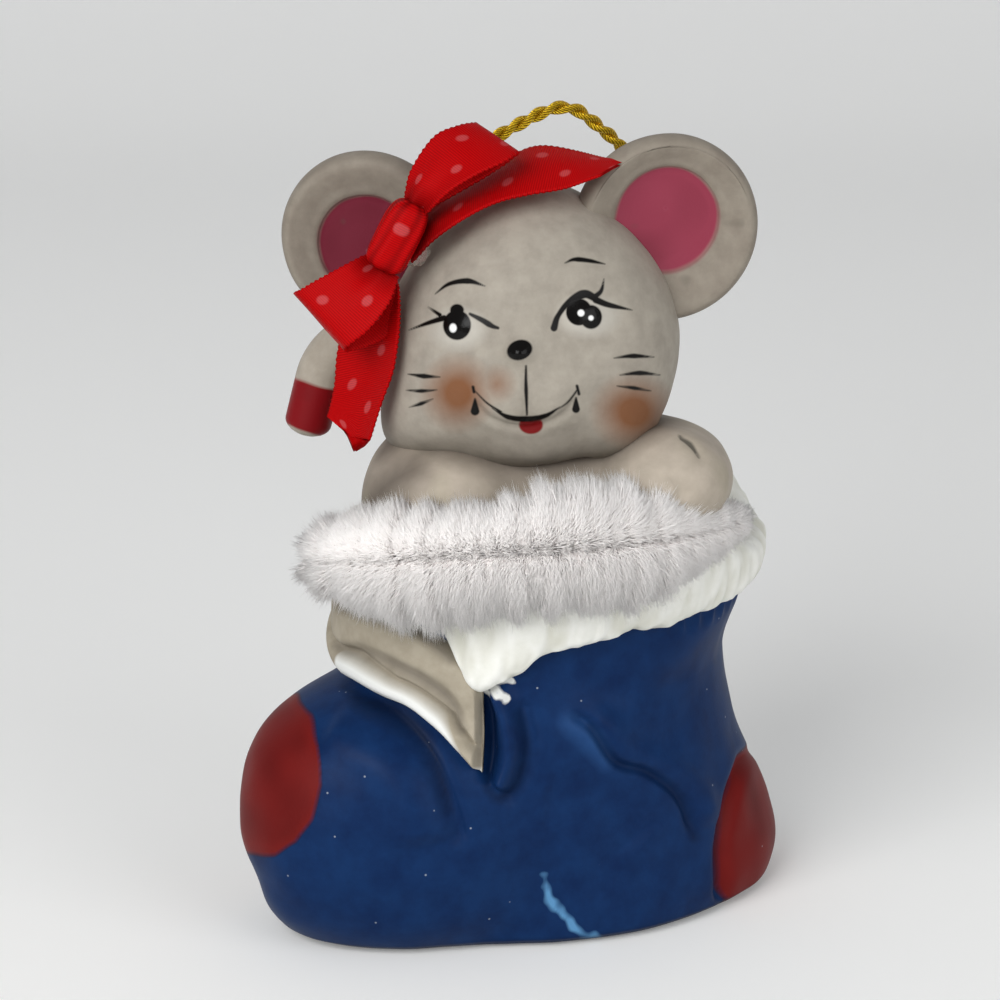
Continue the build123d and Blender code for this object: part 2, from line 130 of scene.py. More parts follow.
def ramp(value, low, high):
    """A smooth step from 0 at low to 1 at high: three times the square less twice the cube."""
    share = np.clip((value - low) / (high - low), 0, 1)
    return share * share * (3 - 2 * share)


def bell(value):
    """A smooth hill of height 1 at zero: e to the minus square."""
    return np.exp(-(value**2))


def curve_through(points, count):
    """A smooth curve through all the points: cubic pieces whose slope at a point joins its neighbours."""
    points = np.asarray(points, float)
    place = np.linspace(0, len(points) - 1, count)
    start = np.minimum(place.astype(int), len(points) - 2)
    share = (place - start).reshape((-1,) + (1,) * (points.ndim - 1))
    padded = np.concatenate([2 * points[:1] - points[1:2], points, 2 * points[-1:] - points[-2:-1]])
    before, here, there, after = (padded[start + step] for step in range(4))
    square = 2 * before - 5 * here + 4 * there - after
    cube = 3 * here - before - 3 * there + after
    return 0.5 * (2 * here + (there - before) * share + square * share**2 + cube * share**3)


def run_lengths(line):
    """How far along a broken line each of its points is."""
    return np.concatenate([[0], np.cumsum(np.linalg.norm(np.diff(line, axis=0), axis=1))])


def along_line(places, stops, line):
    """Points of a broken line at the given places, where its corners are at the stops."""
    return np.stack([np.interp(places, stops, line[:, axis]) for axis in range(3)], axis=-1)


LUMP_PRIMES = (374761393, 668265263, 1274126177)
LUMP_SEED, LUMP_MIX = 362437, 1103515245


def lumps(points, size, seed):
    """Soft random lumps from -1 to 1: a random value at each corner of a grid of that size, blended
    smoothly between the eight corners round a point."""
    place = points / size
    base = np.floor(place).astype(np.int64)
    share = ramp(place - base, 0, 1)
    total = np.zeros(points.shape[:-1])
    for corner in np.ndindex(2, 2, 2):
        mixed = ((base + corner) * LUMP_PRIMES).sum(-1) + seed * LUMP_SEED
        mixed = ((mixed ^ (mixed >> 13)) * LUMP_MIX) & 0x7FFFFFFF
        value = ((mixed ^ (mixed >> 15)) & 0xFFFF) / 32767.5 - 1
        total += value * np.where(corner, share, 1 - share).prod(-1)
    return total


print("lumps run from", lumps(20 * ball_rays(40, 20, 0.1), 4.0, 1).min().round(2))


# %% Distances to brush strokes
def line_distance(places, line):
    """The distance from each place to a broken line, and how far along the line the nearest point is, as a
    share of its length."""
    begin = run_lengths(line)
    best = np.full(places.shape[:-1], np.inf)
    along = np.zeros(places.shape[:-1])
    for start, end, length, passed in zip(line, line[1:], np.diff(begin), begin):
        share = np.clip((places - start) @ (end - start) / length**2, 0, 1)
        away = np.linalg.norm(places - start - share[..., None] * (end - start), axis=-1)
        along = np.where(away < best, (passed + share * length) / begin[-1], along)
        best = np.minimum(best, away)
    return best, along


def strokes(places, marks):
    """How far a place is outside the nearest brush stroke (negative inside it): the distance to a stroke's
    curve less half its width there. A mark is a line and the widths along it."""
    best = np.inf
    for line, widths in marks:
        away, along = line_distance(places, curve_through(line, 8 * len(line)))
        best = np.minimum(best, away - 0.5 * np.interp(along, np.linspace(0, 1, len(widths)), widths))
    return best


def spots(places, ovals):
    """How far a place is outside the nearest oval spot: its distance in units of the oval's radii, less 1,
    times the smaller radius. An oval is a middle, two radii and perhaps a tilt in degrees."""
    best = np.inf
    for middle, radii, *tilt in ovals:
        turn = np.radians(tilt[0] if tilt else 0.0)
        offset = places - np.asarray(middle, float)
        across = (offset[..., 0] * np.cos(turn) + offset[..., 1] * np.sin(turn)) / radii[0]
        down = (offset[..., 1] * np.cos(turn) - offset[..., 0] * np.sin(turn)) / radii[1]
        best = np.minimum(best, (np.hypot(across, down) - 1) * min(radii))
    return best


def patch_distance(places, outline):
    """How far a place is outside a closed outline: the distance to its line, negative where a level ray
    from the place crosses the line an odd number of times."""
    line = np.asarray(outline + outline[:1], float)
    inside = np.zeros(places.shape[:-1], bool)
    for (left, low), (right, high) in zip(line, line[1:]):
        spans = (low > places[..., 1]) != (high > places[..., 1])
        crossing = left + (places[..., 1] - low) * (right - left) / (high - low if high != low else 1)
        inside ^= spans & (places[..., 0] < crossing)
    away = line_distance(places, line)[0]
    return np.where(inside, -away, away)


def mounds(places, hills):
    """The sum of smooth hills, each a height times the bell curve of the distance from its middle in units
    of its radii."""
    return sum(
        height * np.exp(-(((places - np.asarray(middle, float)) / radii) ** 2).sum(-1))
        for height, middle, radii in hills
    )


def folds(places, ridges):
    """The sum of smooth ridges, each a height times the bell curve of the distance from its line in units of
    its width, which dies away at both ends of the line. A negative height makes a crease."""
    total = 0
    for height, width, line in ridges:
        away, along = line_distance(places, curve_through(line, 8 * len(line)))
        total = total + height * bell(away / width) * ramp(along, 0, 0.12) * ramp(1 - along, 0, 0.12)
    return total


beside = strokes(np.array([[5.0, 5.0]]), [([(0, 0), (0, 9)], (4, 4))])
print("a place 5 beside a stroke 4 wide is", beside, "outside it")


# %% Meshes
def new_piece(name, points, *face_sets):
    """An object with a smooth mesh: the points in metres, then the faces of each set, end to end."""
    mesh = bpy.data.meshes.new(name)
    mesh.vertices.add(len(points))
    mesh.vertices.foreach_set("co", (points * MM).astype(np.float32).ravel())
    corners = np.concatenate([faces.ravel() for faces in face_sets]).astype(np.int32)
    sizes = np.concatenate([np.full(len(faces), faces.shape[1]) for faces in face_sets])
    mesh.loops.add(len(corners))
    mesh.loops.foreach_set("vertex_index", corners)
    mesh.polygons.add(len(sizes))
    mesh.polygons.foreach_set("loop_start", (np.cumsum(sizes) - sizes).astype(np.int32))
    mesh.update(calc_edges=True)
    mesh.shade_smooth()
    piece = bpy.data.objects.new(name, mesh)
    bpy.context.scene.collection.objects.link(piece)
    return piece


def carry(piece, label, values):
    """Gives each vertex of a piece a number that a material can read."""
    attribute = piece.data.attributes.new(label, "FLOAT", "POINT")
    attribute.data.foreach_set("value", values.astype(np.float32))


def skin(name, grid, around=True, across=False, caps=True, uv=None, attributes=None):
    """A mesh on a grid of points: four neighbours make a face. The columns may close round, the rows may
    close across, and caps close the first and last row with a fan. Faces turn outwards, which the sign of
    the enclosed volume tells."""
    rows, columns = grid.shape[:2]
    index = np.arange(rows * columns).reshape(rows, columns)
    index = np.concatenate([index, index[:, :1]], axis=1) if around else index
    index = np.concatenate([index, index[:1]], axis=0) if across else index

    def capped(values):
        """Values at the grid's points, and the mean of the first and the last row for the caps' middles."""
        flat = values.reshape((rows * columns,) + values.shape[2:])
        ends = [flat[:columns].mean(0)[None], flat[-columns:].mean(0)[None]]
        return np.concatenate([flat] + ends) if caps else flat

    points = capped(grid)
    corners = [index[:-1, :-1], index[:-1, 1:], index[1:, 1:], index[1:, :-1]]
    quads = np.stack(corners, axis=-1).reshape(-1, 4)
    fans = np.empty((0, 3), int)
    if caps:
        first = np.full(index.shape[1] - 1, rows * columns)
        low = np.stack([first, index[0, 1:], index[0, :-1]], axis=-1)
        high = np.stack([first + 1, index[-1, :-1], index[-1, 1:]], axis=-1)
        fans = np.concatenate([low, high])
    a, b, c, d = (points[quads[:, corner]] for corner in range(4))
    tip, left, right = (points[fans[:, corner]] for corner in range(3))
    volume = (a * (np.cross(b, c) + np.cross(c, d))).sum() + (tip * np.cross(left, right)).sum()
    if volume < 0:
        quads, fans = quads[:, ::-1], fans[:, ::-1]
    piece = new_piece(name, points, quads, fans)
    for label, values in (attributes or {}).items():
        carry(piece, label, capped(np.broadcast_to(values, (rows, columns))))
    if uv is not None:
        order = np.concatenate([quads.ravel(), fans.ravel()])
        layer = piece.data.uv_layers.new(name="lay")
        layer.data.foreach_set("uv", capped(uv)[order].astype(np.float32).ravel())
    return piece


def settle(piece, material, slot, body, *nodes):
    """Gives a piece its material and its body, and hides the CAD nodes it stands for. The slot is not used."""
    piece.data.materials.append(material)
    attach(piece, body)
    if nodes:
        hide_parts(*nodes)
    print(piece.name, len(piece.data.polygons), "faces for", nodes)
    return piece


TUBE_SIDE = (0.31, 0.9, 0.2)  # a direction that no tube here runs along


def path_axes(path):
    """Two directions square to a path at each of its points, and to each other."""
    ahead = unit(np.gradient(path, axis=0))
    side = unit(np.cross(ahead, TUBE_SIDE))
    return side, np.cross(side, ahead)


def tube(path, radius, columns):
    """A round tube along a path: circles of that radius in the plane square to the path at each point."""
    side, lift = path_axes(path)
    reach = np.broadcast_to(np.asarray(radius, float), (len(path),))[:, None, None]
    return path[:, None] + reach * turned(round_angles(columns)[None], side[:, None], lift[:, None])


print("the frame has", len(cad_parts), "CAD nodes to dress")


# %% [markdown]
# ## Materials
# Colours are written as they look in daylight, in hexadecimal, and turned into light. A painted material
# is a base colour with layers over it. The layers could be images wrapped round the piece; here each is
# laid where the distance that a vertex carries is below zero, so that it needs no image and stays sharp.

# %% Material tools
VALUE, FROM_LOW, FROM_HIGH, TO_LOW, TO_HIGH = range(5)  # sockets of a Map Range node
FIRST, SECOND, MIXED = 6, 7, 2  # colour sockets of a Mix node
LOW, HIGH = 2, 3  # its number sockets
PAINT_GRIT = 0.35  # mm, the grain of bisque under paint
GRIT_DEPTH = 0.0001  # m
DUST_COLOUR = "#B9C0C8"


def linear(code):
    """The light a written colour stands for: each part to the power 2.4, or a straight line near black."""
    parts = np.array([int(code[place : place + 2], 16) for place in (1, 3, 5)]) / 255
    light = np.where(parts <= 0.04045, parts / 12.92, ((parts + 0.055) / 1.055) ** 2.4)
    return (*light.tolist(), 1.0)


def plug(tree, node, inputs):
    """Sets or links a node's inputs by name or number."""
    for name, value in inputs.items():
        if isinstance(value, bpy.types.NodeSocket):
            tree.links.new(value, node.inputs[name])
        else:
            node.inputs[name].default_value = value


def add(tree, kind, inputs=None, **settings):
    """Adds one node, sets its properties, and sets or links its inputs."""
    node = tree.nodes.new(kind)
    for name, value in settings.items():
        setattr(node, name, value)
    plug(tree, node, inputs or {})
    return node


def per(size):
    """A texture's scale from the real size of its grain in millimetres."""
    return 1 / (size * MM)


def start_material(name):
    """A new material with its node tree, its surface shader and its object coordinates."""
    material = bpy.data.materials.new(name)
    material.use_nodes = True
    tree = material.node_tree
    where = add(tree, "ShaderNodeTexCoord").outputs["Object"]
    return material, tree, tree.nodes["Principled BSDF"], where


def painted(name, base, shade, rough, layers=(), grain=2.5, bump=0.15, specular=0.14, dust=None):
    """A painted or bare cast surface: two tones of the base mixed by soft noise, then the layers, each an
    attribute, a colour, a roughness, a soft edge and a strength, then specks of dust, of which there is
    one in a cube of the given size, then a fine grain in its relief."""
    material, tree, shader, where = start_material(name)
    clouds = {"Vector": where, "Scale": per(grain), "Detail": 6, "Roughness": 0.62}
    cloud = add(tree, "ShaderNodeTexNoise", clouds).outputs["Fac"]
    tones = add(tree, "ShaderNodeMapRange", {VALUE: cloud, FROM_LOW: 0.36, FROM_HIGH: 0.66}).outputs[0]
    tints = {"Factor": tones, FIRST: linear(base), SECOND: linear(shade)}
    colour, gloss = add(tree, "ShaderNodeMix", tints, data_type="RGBA").outputs[MIXED], rough
    for attribute, code, layer_rough, edge, strength in layers:
        carried = add(tree, "ShaderNodeAttribute", attribute_name=attribute).outputs["Fac"]
        span = {VALUE: carried, FROM_LOW: edge, FROM_HIGH: -edge, TO_LOW: 0.0, TO_HIGH: strength}
        share = add(tree, "ShaderNodeMapRange", span).outputs[0]
        coat = {"Factor": share, FIRST: colour, SECOND: linear(code)}
        colour = add(tree, "ShaderNodeMix", coat, data_type="RGBA").outputs[MIXED]
        gloss = add(tree, "ShaderNodeMix", {"Factor": share, LOW: gloss, HIGH: layer_rough}).outputs[0]
    if dust:
        cells = add(tree, "ShaderNodeTexVoronoi", {"Vector": where, "Scale": per(dust)}).outputs["Distance"]
        span = {VALUE: cells, FROM_LOW: 0.05, FROM_HIGH: 0.03, TO_LOW: 0.0, TO_HIGH: 0.45}
        specks = add(tree, "ShaderNodeMapRange", span).outputs[0]
        coat = {"Factor": specks, FIRST: colour, SECOND: linear(DUST_COLOUR)}
        colour = add(tree, "ShaderNodeMix", coat, data_type="RGBA").outputs[MIXED]
    fine = add(tree, "ShaderNodeTexNoise", {"Vector": where, "Scale": per(PAINT_GRIT), "Detail": 4})
    grit = {"Height": fine.outputs["Fac"], "Strength": bump, "Distance": GRIT_DEPTH}
    relief = add(tree, "ShaderNodeBump", grit)
    plug(tree, shader, {
        "Base Color": colour, "Roughness": gloss, "Specular IOR Level": specular, "Normal": relief.outputs[0],
    })
    return material


print("mid grey as light", round(linear("#808080")[0], 3))

# %% [markdown]
# ## The hanging cord
# A 1.6 mm gold cord of two twisted strands leaves the crown by one hole, bows over and goes back in by the
# other. A bevelled curve would give one smooth tube; two strands wound about the same centre line show the
# twist. The centre line is a spline whose control points are the same points as in CAD.

# %% Cord line
CORD_DIAMETER = 1.6
CORD_TWIST = 5.2  # mm for one turn of the strands
CORD_ROUTE = np.array([
    (-2.5, -1.0, 93.7), (-4.6, -1.2, 97.4), (-1.0, 0.0, 99.4), (5.2, 2.2, 102.0),
    (9.6, 4.0, 98.2), (13.4, 5.5, 94.6), (10.17, 4.48, 89.01),
])

route = bpy.data.curves.new("cord_line", "CURVE")
route.dimensions = "3D"
spline = route.splines.new("NURBS")
spline.points.add(len(CORD_ROUTE) - 1)
spline.points.foreach_set("co", np.c_[CORD_ROUTE * MM, np.ones(len(CORD_ROUTE))].ravel())
spline.order_u = 3
spline.use_endpoint_u = True
spline.resolution_u = 24
line_object = bpy.data.objects.new("cord_line", route)
bpy.context.scene.collection.objects.link(line_object)
line_mesh = bpy.data.meshes.new_from_object(line_object)
cord_line = np.empty(3 * len(line_mesh.vertices))
line_mesh.vertices.foreach_get("co", cord_line)
cord_line = cord_line.reshape(-1, 3) / MM
bpy.data.objects.remove(line_object)
cord_place = run_lengths(cord_line)
cord_length = cord_place[-1]
even = np.linspace(0, cord_length, 260)
cord_line = along_line(even, cord_place, cord_line)
print("cord length", round(cord_length, 1), "mm")

# %% Cord strands
# Metallised yarn: a gold film wound round a core, which gives short bright glints across each strand.
gold_yarn, tree, shader, where = start_material("metallised_yarn_gold")
layer = add(tree, "ShaderNodeUVMap", uv_map="lay").outputs[0]
windings = {"Vector": layer, "Scale": 1.5, "Distortion": 1.2, "Detail": 2}
wraps = add(tree, "ShaderNodeTexWave", windings, bands_direction="DIAGONAL").outputs["Fac"]
tints = {"Factor": wraps, FIRST: linear("#9C7410"), SECOND: linear("#F2CC2A")}
golds = add(tree, "ShaderNodeMix", tints, data_type="RGBA").outputs[MIXED]
relief = add(tree, "ShaderNodeBump", {"Height": wraps, "Strength": 0.7, "Distance": 0.0002}).outputs[0]
plug(tree, shader, {"Base Color": golds, "Normal": relief, "Metallic": 0.85, "Roughness": 0.34})

STRAND_SIDES = 14
STRAND_OFFSET, STRAND_RADIUS = 0.25 * CORD_DIAMETER, 0.285 * CORD_DIAMETER
strands = []
for number in range(2):
    winding = 2 * np.pi * even / CORD_TWIST + np.pi * number
    path = cord_line + STRAND_OFFSET * turned(winding, *path_axes(cord_line))
    strand_uv = np.stack(np.broadcast_arrays(even[:, None], np.linspace(0, 2.8, STRAND_SIDES)[None]), axis=-1)
    strands.append(skin(f"cord_strand_{number}", tube(path, STRAND_RADIUS, STRAND_SIDES), uv=strand_uv))
settle(strands[0], gold_yarn, "gold_cord", "hanging_loop", "hanging_cord")
settle(strands[1], gold_yarn, "gold_cord", "hanging_loop")

# %% [markdown]
# ## The stocking
# The real one is slip-cast porcelain, painted after firing. It could be two ovals joined by a boolean; here
# it is a radius worked out at each angle and height, which gives an even grid for relief and paint. Seen
# from above it is the larger of two ovals at each height: the shaft with its heel, and the round toe,
# joined with a soft fillet.

# %% Stocking form
FOOT_TURN = np.radians(26.7)
heel_axis = np.array([np.cos(FOOT_TURN), np.sin(FOOT_TURN), 0.0])
side_axis = np.array([np.sin(FOOT_TURN), -np.cos(FOOT_TURN), 0.0])
SHAFT_MIDDLE = 2.3  # along the heel axis
SHAFT_HEIGHT = 48.0
shaft_levels = np.linspace(0, SHAFT_HEIGHT, 5)
shaft_halves = np.polyfit(shaft_levels, (27.5, 27.2, 25.25, 24.8, 25.25), 4)
shaft_widths = np.polyfit(shaft_levels, (20.0, 20.6, 20.0, 19.6, 20.0), 4)
shaft_shifts = np.polyfit(shaft_levels, (6.0, 5.8, 2.4, 2.0, 2.6), 4)
TOE_MIDDLE = -11.0
TOE_HALF_LENGTH, TOE_HALF_WIDTH = 27.2, 18.5
TOE_LEVEL, TOE_RISE, TOE_DROP = 14.0, 18.4, 19.96  # its widest height, and from there to its top and bottom
TOE_CROWN, TOE_FLOOR = 2.6, 2.2  # how square its section is above and below
TOE_FILLET = 1.1


def oval_reach(angle, middle, half_length, half_width):
    """How far a level ray from the shaft's middle runs to the far side of an oval that sits along the heel
    axis: the larger root of the oval's quadratic, or 0 where the ray misses it."""
    along, aside = np.cos(angle), np.sin(angle)
    square = (along / half_length) ** 2 + (aside / half_width) ** 2
    mixed = along * middle / half_length**2
    root = mixed**2 - square * ((middle / half_length) ** 2 - 1)
    return np.where(root > 0, (mixed + np.sqrt(np.maximum(root, 0))) / square, 0)


def stocking_reach(angle, height):
    """The stocking's radius at an angle from the heel axis and a height: a soft maximum of shaft and toe."""
    level = np.clip(height, 0, SHAFT_HEIGHT)
    shaft = oval_reach(
        angle, np.polyval(shaft_shifts, level) - SHAFT_MIDDLE,
        np.polyval(shaft_halves, level), np.polyval(shaft_widths, level),
    )
    above = np.clip((height - TOE_LEVEL) / TOE_RISE, 0, 1)
    below = np.clip((TOE_LEVEL - height) / TOE_DROP, 0, 1)
    swell = (1 - above**TOE_CROWN) ** (1 / TOE_CROWN) * (1 - below**TOE_FLOOR) ** (1 / TOE_FLOOR) + 1e-4
    toe = oval_reach(angle, TOE_MIDDLE - SHAFT_MIDDLE, TOE_HALF_LENGTH * swell, TOE_HALF_WIDTH * swell)
    apart = (shaft - toe) / 2
    return (shaft + toe) / 2 + np.sqrt(apart**2 + TOE_FILLET**2)


def stocking_points(angle, height, lift=0.0):
    """Points on the stocking, or that far outside it."""
    reach = stocking_reach(angle, height) + lift
    points = SHAFT_MIDDLE * heel_axis + reach[..., None] * turned(angle, heel_axis, side_axis)
    points[..., 2] = height
    return points


def stocking_place(points):
    """The angle from the heel axis, and the distance outside the stocking, of points."""
    along = points @ heel_axis - SHAFT_MIDDLE
    aside = points @ side_axis
    angle = np.arctan2(aside, along)
    return angle, np.hypot(along, aside) - stocking_reach(angle, points[..., 2])


def onto_stocking(pixels):
    """Where view rays meet the stocking: the point half way along the ray's last uncertain stretch, after
    halving it thirty times."""
    rays = view_rays(pixels)
    near = np.full(rays.shape[:-1], VIEW_DISTANCE - 60.0)
    far = np.full(rays.shape[:-1], VIEW_DISTANCE + 2.0)
    for step in range(30):
        middle = (near + far) / 2
        outside = stocking_place(eye + rays * middle[..., None])[1] > 0
        near, far = np.where(outside, middle, near), np.where(outside, far, middle)
    return eye + rays * near[..., None]


toe_reach = stocking_reach(np.array([np.pi]), np.array([TOE_LEVEL]))
print("toe tip is", toe_reach.round(1), "mm from the shaft's middle")

# %% [markdown]
# The sculptor folded the cloth beside the slit, over the toe and across the ankle. Each fold is a ridge or
# a crease along a line in the picture, with its height in millimetres and its width in pixels.

# %% Stocking relief
MOUTH_HEIGHT = 45.5
FRONT_FOLDS = [
    (2.3, 12, [(490, 686), (506, 714), (511, 748), (504, 776), (495, 790)]),  # ridge beside the slit
    (-2.0, 8, [(484, 690), (489, 720), (490, 750), (486, 786)]),
    (-0.7, 8, [(520, 696), (529, 740), (520, 782), (500, 804)]),
    (-1.2, 8, [(352, 690), (392, 716), (428, 756), (448, 800), (463, 852)]),  # fold over the toe
    (1.3, 28, [(330, 716), (384, 752), (414, 790), (430, 850)]),
    (-0.8, 5, [(565, 712), (590, 726), (615, 761), (649, 773), (681, 800), (694, 838)]),  # ankle wrinkle
    (0.7, 14, [(580, 708), (606, 724), (632, 751), (664, 764), (698, 790), (712, 830)]),
    (-0.5, 30, [(540, 800), (600, 812), (640, 850)]),
]
FRONT_HOLLOWS = [(-0.5, (625, 690), (60, 24)), (0.5, (560, 760), (30, 60))]
TOE_HOLLOW = [(-1.0, (246, 885), (26, 40))]
HEEL_GROOVE = [(-1.5, 6, [(750, 742), (734, 790), (724, 840), (720, 908)])]
HEM_NOTCHES = 26  # half waves round the mouth

angle, height = np.meshgrid(round_angles(440), np.linspace(0, 1, 226), indexing="xy")
height = MOUTH_HEIGHT * height**1.15
grid = stocking_points(angle, height)
pixels = photo_pixels(grid)
rightward = grid[..., 0]
front = ramp(-grid[..., 1], -4, 2)
relief = 0.4 - 0.9 * (1 - ramp(height, -0.3, 0.9)) - 0.4 * ramp(height, 3, 9)
relief += front * (folds(pixels, FRONT_FOLDS) + mounds(pixels, FRONT_HOLLOWS))
relief += mounds(pixels, TOE_HOLLOW) + folds(pixels, HEEL_GROOVE) * ramp(rightward, 14, 18)
relief += 0.35 * lumps(grid, 9.0, 3) + 0.12 * lumps(grid, 3.5, 4)
relief += 1.7 * ramp(height, 31, 40) * ramp(rightward, 13, 24)
notches = np.abs(np.sin(HEM_NOTCHES * angle))
relief -= 0.6 * ramp(height, 37.5, 40) * notches * ramp(rightward, 14, 20)
grid = grid + relief[..., None] * turned(angle, heel_axis, side_axis)
print("relief from", relief.min().round(2), "to", relief.max().round(2), "mm")

# %% [markdown]
# The toe and the heel are painted red inside a round patch each, with a thin dark line round it. White
# paint has run over the blue beside the slit, and the glaze is scratched pale near the sole. Shade is
# painted into the blue as a darker navy in the folds and along the sole's edge.

# %% Stocking paint
TOE_OUTLINE = [
    (297, 697), (312, 715), (320, 745), (322, 785), (313, 820), (297, 843), (275, 853), (252, 852),
    (215, 850), (200, 770), (230, 700), (270, 680),
]
HEEL_OUTLINE = [
    (750, 742), (738, 772), (729, 812), (723, 850), (721, 885), (727, 907), (745, 915), (800, 890), (800, 730),
]
DRIP_MARKS = [
    ([(474, 672), (484, 682), (495, 688), (503, 692), (509, 698)], (16, 16, 8, 8, 4)),
    ([(496, 680), (508, 679), (515, 684)], (7, 6, 2)), ([(484, 686), (488, 697)], (8, 4)),
]
SCRATCH_MARKS = [([(545, 880), (552, 904), (566, 918), (580, 932), (602, 938)], (4, 8, 4, 5, 2))]
# Shade painted into the folds: under the lapel, beside the slit and along the ankle wrinkle.
FOLD_SHADE_MARKS = [
    ([(344, 686), (366, 702), (398, 716), (424, 742), (438, 776), (446, 812)], (6, 16, 22, 16, 8, 2)),
    ([(486, 694), (490, 720), (491, 750), (487, 786)], (4, 10, 8, 3)),
    ([(519, 712), (525, 744), (517, 780), (500, 798), (488, 790)], (2, 5, 6, 6, 2)),
    ([(590, 727), (616, 762), (650, 774), (682, 801), (694, 838)], (2, 4, 4, 5, 2)),
]
# A highlight painted paler blue over the ankle wrinkle.
HIGHLIGHT_MARKS = [([(568, 722), (588, 738), (604, 762)], (10, 16, 6))]
OFF_FRONT = 5.0  # mm that keep front paint off the far side


def front_strokes(pixels, front, marks):
    """The distance to brush strokes in millimetres, kept off whatever doesn't face the front."""
    return strokes(pixels, marks) / PIXELS_PER_MM + (1 - front) * OFF_FRONT


patch = np.minimum(patch_distance(pixels, TOE_OUTLINE), patch_distance(pixels, HEEL_OUTLINE)) / PIXELS_PER_MM
patch += 0.4 * lumps(grid, 4.0, 8)
stocking = skin("stocking", grid, attributes={
    "patch_line": np.abs(patch) - 0.22, "patch": patch,
    "soot": 0.9 + 1.8 * lumps(grid, 4.0, 11) + np.maximum(patch + 1.5, 0),
    "scratch": front_strokes(pixels, front, SCRATCH_MARKS) + 0.55 * lumps(grid, 1.0, 5),
    # A painted highlight on the ankle.
    "painted_highlight": front_strokes(pixels, front, HIGHLIGHT_MARKS),
    # Painted shade in the folds and along the sole's edge.
    "painted_fold_shade": np.minimum(front_strokes(pixels, front, FOLD_SHADE_MARKS), height - 0.5),
    "drip": front_strokes(pixels, front, DRIP_MARKS) + 0.25 * lumps(grid, 0.9, 6),
})
# Acrylic brushed on bisque, unfired: nearly matt, a little cloudy, with house dust stuck to it.
blue_paint = painted(
    "cold_painted_bisque_blue", "#102D57", "#0B234A", 0.44,
    [
        ("patch_line", "#0C0D14", 0.5, 0.25, 0.9), ("patch", "#6A1715", 0.46, 0.35, 1.0),
        ("soot", "#33090C", 0.5, 1.6, 0.6), ("scratch", "#5E94C0", 0.4, 0.35, 0.85),
        # Next: a painted highlight on the ankle, and shade painted dark navy into the folds.
        ("painted_highlight", "#35609A", 0.42, 1.2, 0.4), ("painted_fold_shade", "#050F24", 0.5, 0.8, 0.75),
        ("drip", "#DCDDDA", 0.5, 0.12, 1.0),
    ],
    grain=4.0, specular=0.07, dust=3.2,
)
settle(stocking, blue_paint, "blue_porcelain", "figurine", "stocking_shell")

# %% [markdown]
# ## The cuff
# Moulded fur, as a thick white roll round the mouth. It could be a torus with a displacement; instead one
# closed section is carried round the stocking, so that its hem can slope, dip at the slit, and lift where
# the corner is folded over, and its crest can sink at both sides as the picture shows.

# %% Cuff
CUFF_COLUMNS = 520
CUFF_MIDDLE = np.array([2.5, 1.26, 46.0])
CUFF_TOP, HEM_HEIGHT = 54.3, 40.0
SLIT_PLACE, SLIT_DIP = -5.5, 5.8
CUFF_SECTION = np.array([
    (-0.4, 0.02), (1.3, 0.0), (2.3, 0.04), (2.9, 0.14), (3.3, 0.34), (3.4, 0.56), (3.1, 0.76), (2.0, 0.92),
    (0.0, 1.0), (-2.6, 0.98), (-5.0, 0.94), (-9.0, 0.91), (-12.5, 0.88), (-12.5, 0.8), (-6.0, 0.66),
    (-0.4, 0.56), (-0.4, 0.02),
])  # millimetres outwards, and the share of the way from hem to crest

cuff_angle = round_angles(CUFF_COLUMNS)
base = stocking_points(cuff_angle, np.full(CUFF_COLUMNS, 44.0))
rightward, backward = base[:, 0], base[:, 1]
bearing = np.degrees(np.arctan2(backward - CUFF_MIDDLE[1], rightward - CUFF_MIDDLE[0]))
lapel_lift = ramp(-bearing, 108, 128) * ramp(bearing, -176, -166)
slit_width = np.where(rightward > SLIT_PLACE, 6.5, 3.2)
slit_dip = SLIT_DIP * bell((rightward - SLIT_PLACE) / slit_width) * ramp(-backward, 4, 10)
hem = HEM_HEIGHT - slit_dip * (1 - lapel_lift) + 4.0 * lapel_lift + 1.6 * ramp(rightward, 12, 26)
hem += 0.7 * lumps(base, 3.2, 25) + 0.4 * lumps(base, 1.5, 26)
behind_back = ramp(backward, 9, 17) * ramp(rightward, -14, -4)
sink = 4.8 * ramp(backward, -15, -2) + 1.2 * ramp(rightward, 14, 25)
crest = CUFF_TOP - sink * (1 - behind_back)

outward, upward = np.split(curve_through(CUFF_SECTION, 90)[:-1], 2, axis=1)
swell = 0.9 * ramp(rightward, 8, 24)[None] * ramp(outward, 0.5, 2.5)
cuff_height = hem[None] + upward * (crest - hem)[None]
grid = stocking_points(np.broadcast_to(cuff_angle, cuff_height.shape), cuff_height, outward + swell)
tufts = sum(
    strength * lumps(grid * (1, 1, squeeze), size, seed)
    for strength, squeeze, size, seed in ((0.8, 0.45, 3.4, 21), (0.7, 0.3, 1.6, 22), (0.5, 0.25, 0.8, 24))
)
grid += (0.42 * ramp(outward, 0.5, 2.0) * tufts)[..., None] * unit(grid - CUFF_MIDDLE)
# White glaze on bisque: satin, with a warm grey painted between the tufts as grime and shade in the hollows.
white_glaze = painted(
    "white_glazed_bisque", "#EEEEE8", "#E4E4DC", 0.5,
    [("dirt_and_shade", "#BDBBA8", 0.6, 0.5, 0.5)], grain=3.0, bump=0.2,
)
# Greyer where the tufts sink: grime, and shade painted into the hollows.
dirt_and_shade = 0.35 + tufts + 0.3 * lumps(grid, 7.0, 23)
cuff = skin("cuff", grid, across=True, caps=False, attributes={"dirt_and_shade": dirt_and_shade})
settle(cuff, white_glaze, "white_porcelain", "figurine", "stocking_cuff")

# %% [markdown]
# ## The lapel
# The corner of the cuff is folded over beside the slit and shows its grey inside, with a white edge. A
# strip between two edge lines, laid on the stocking and lifted off it, follows the picture more closely
# than a cut from the cuff would. At the side it goes up under the cuff.

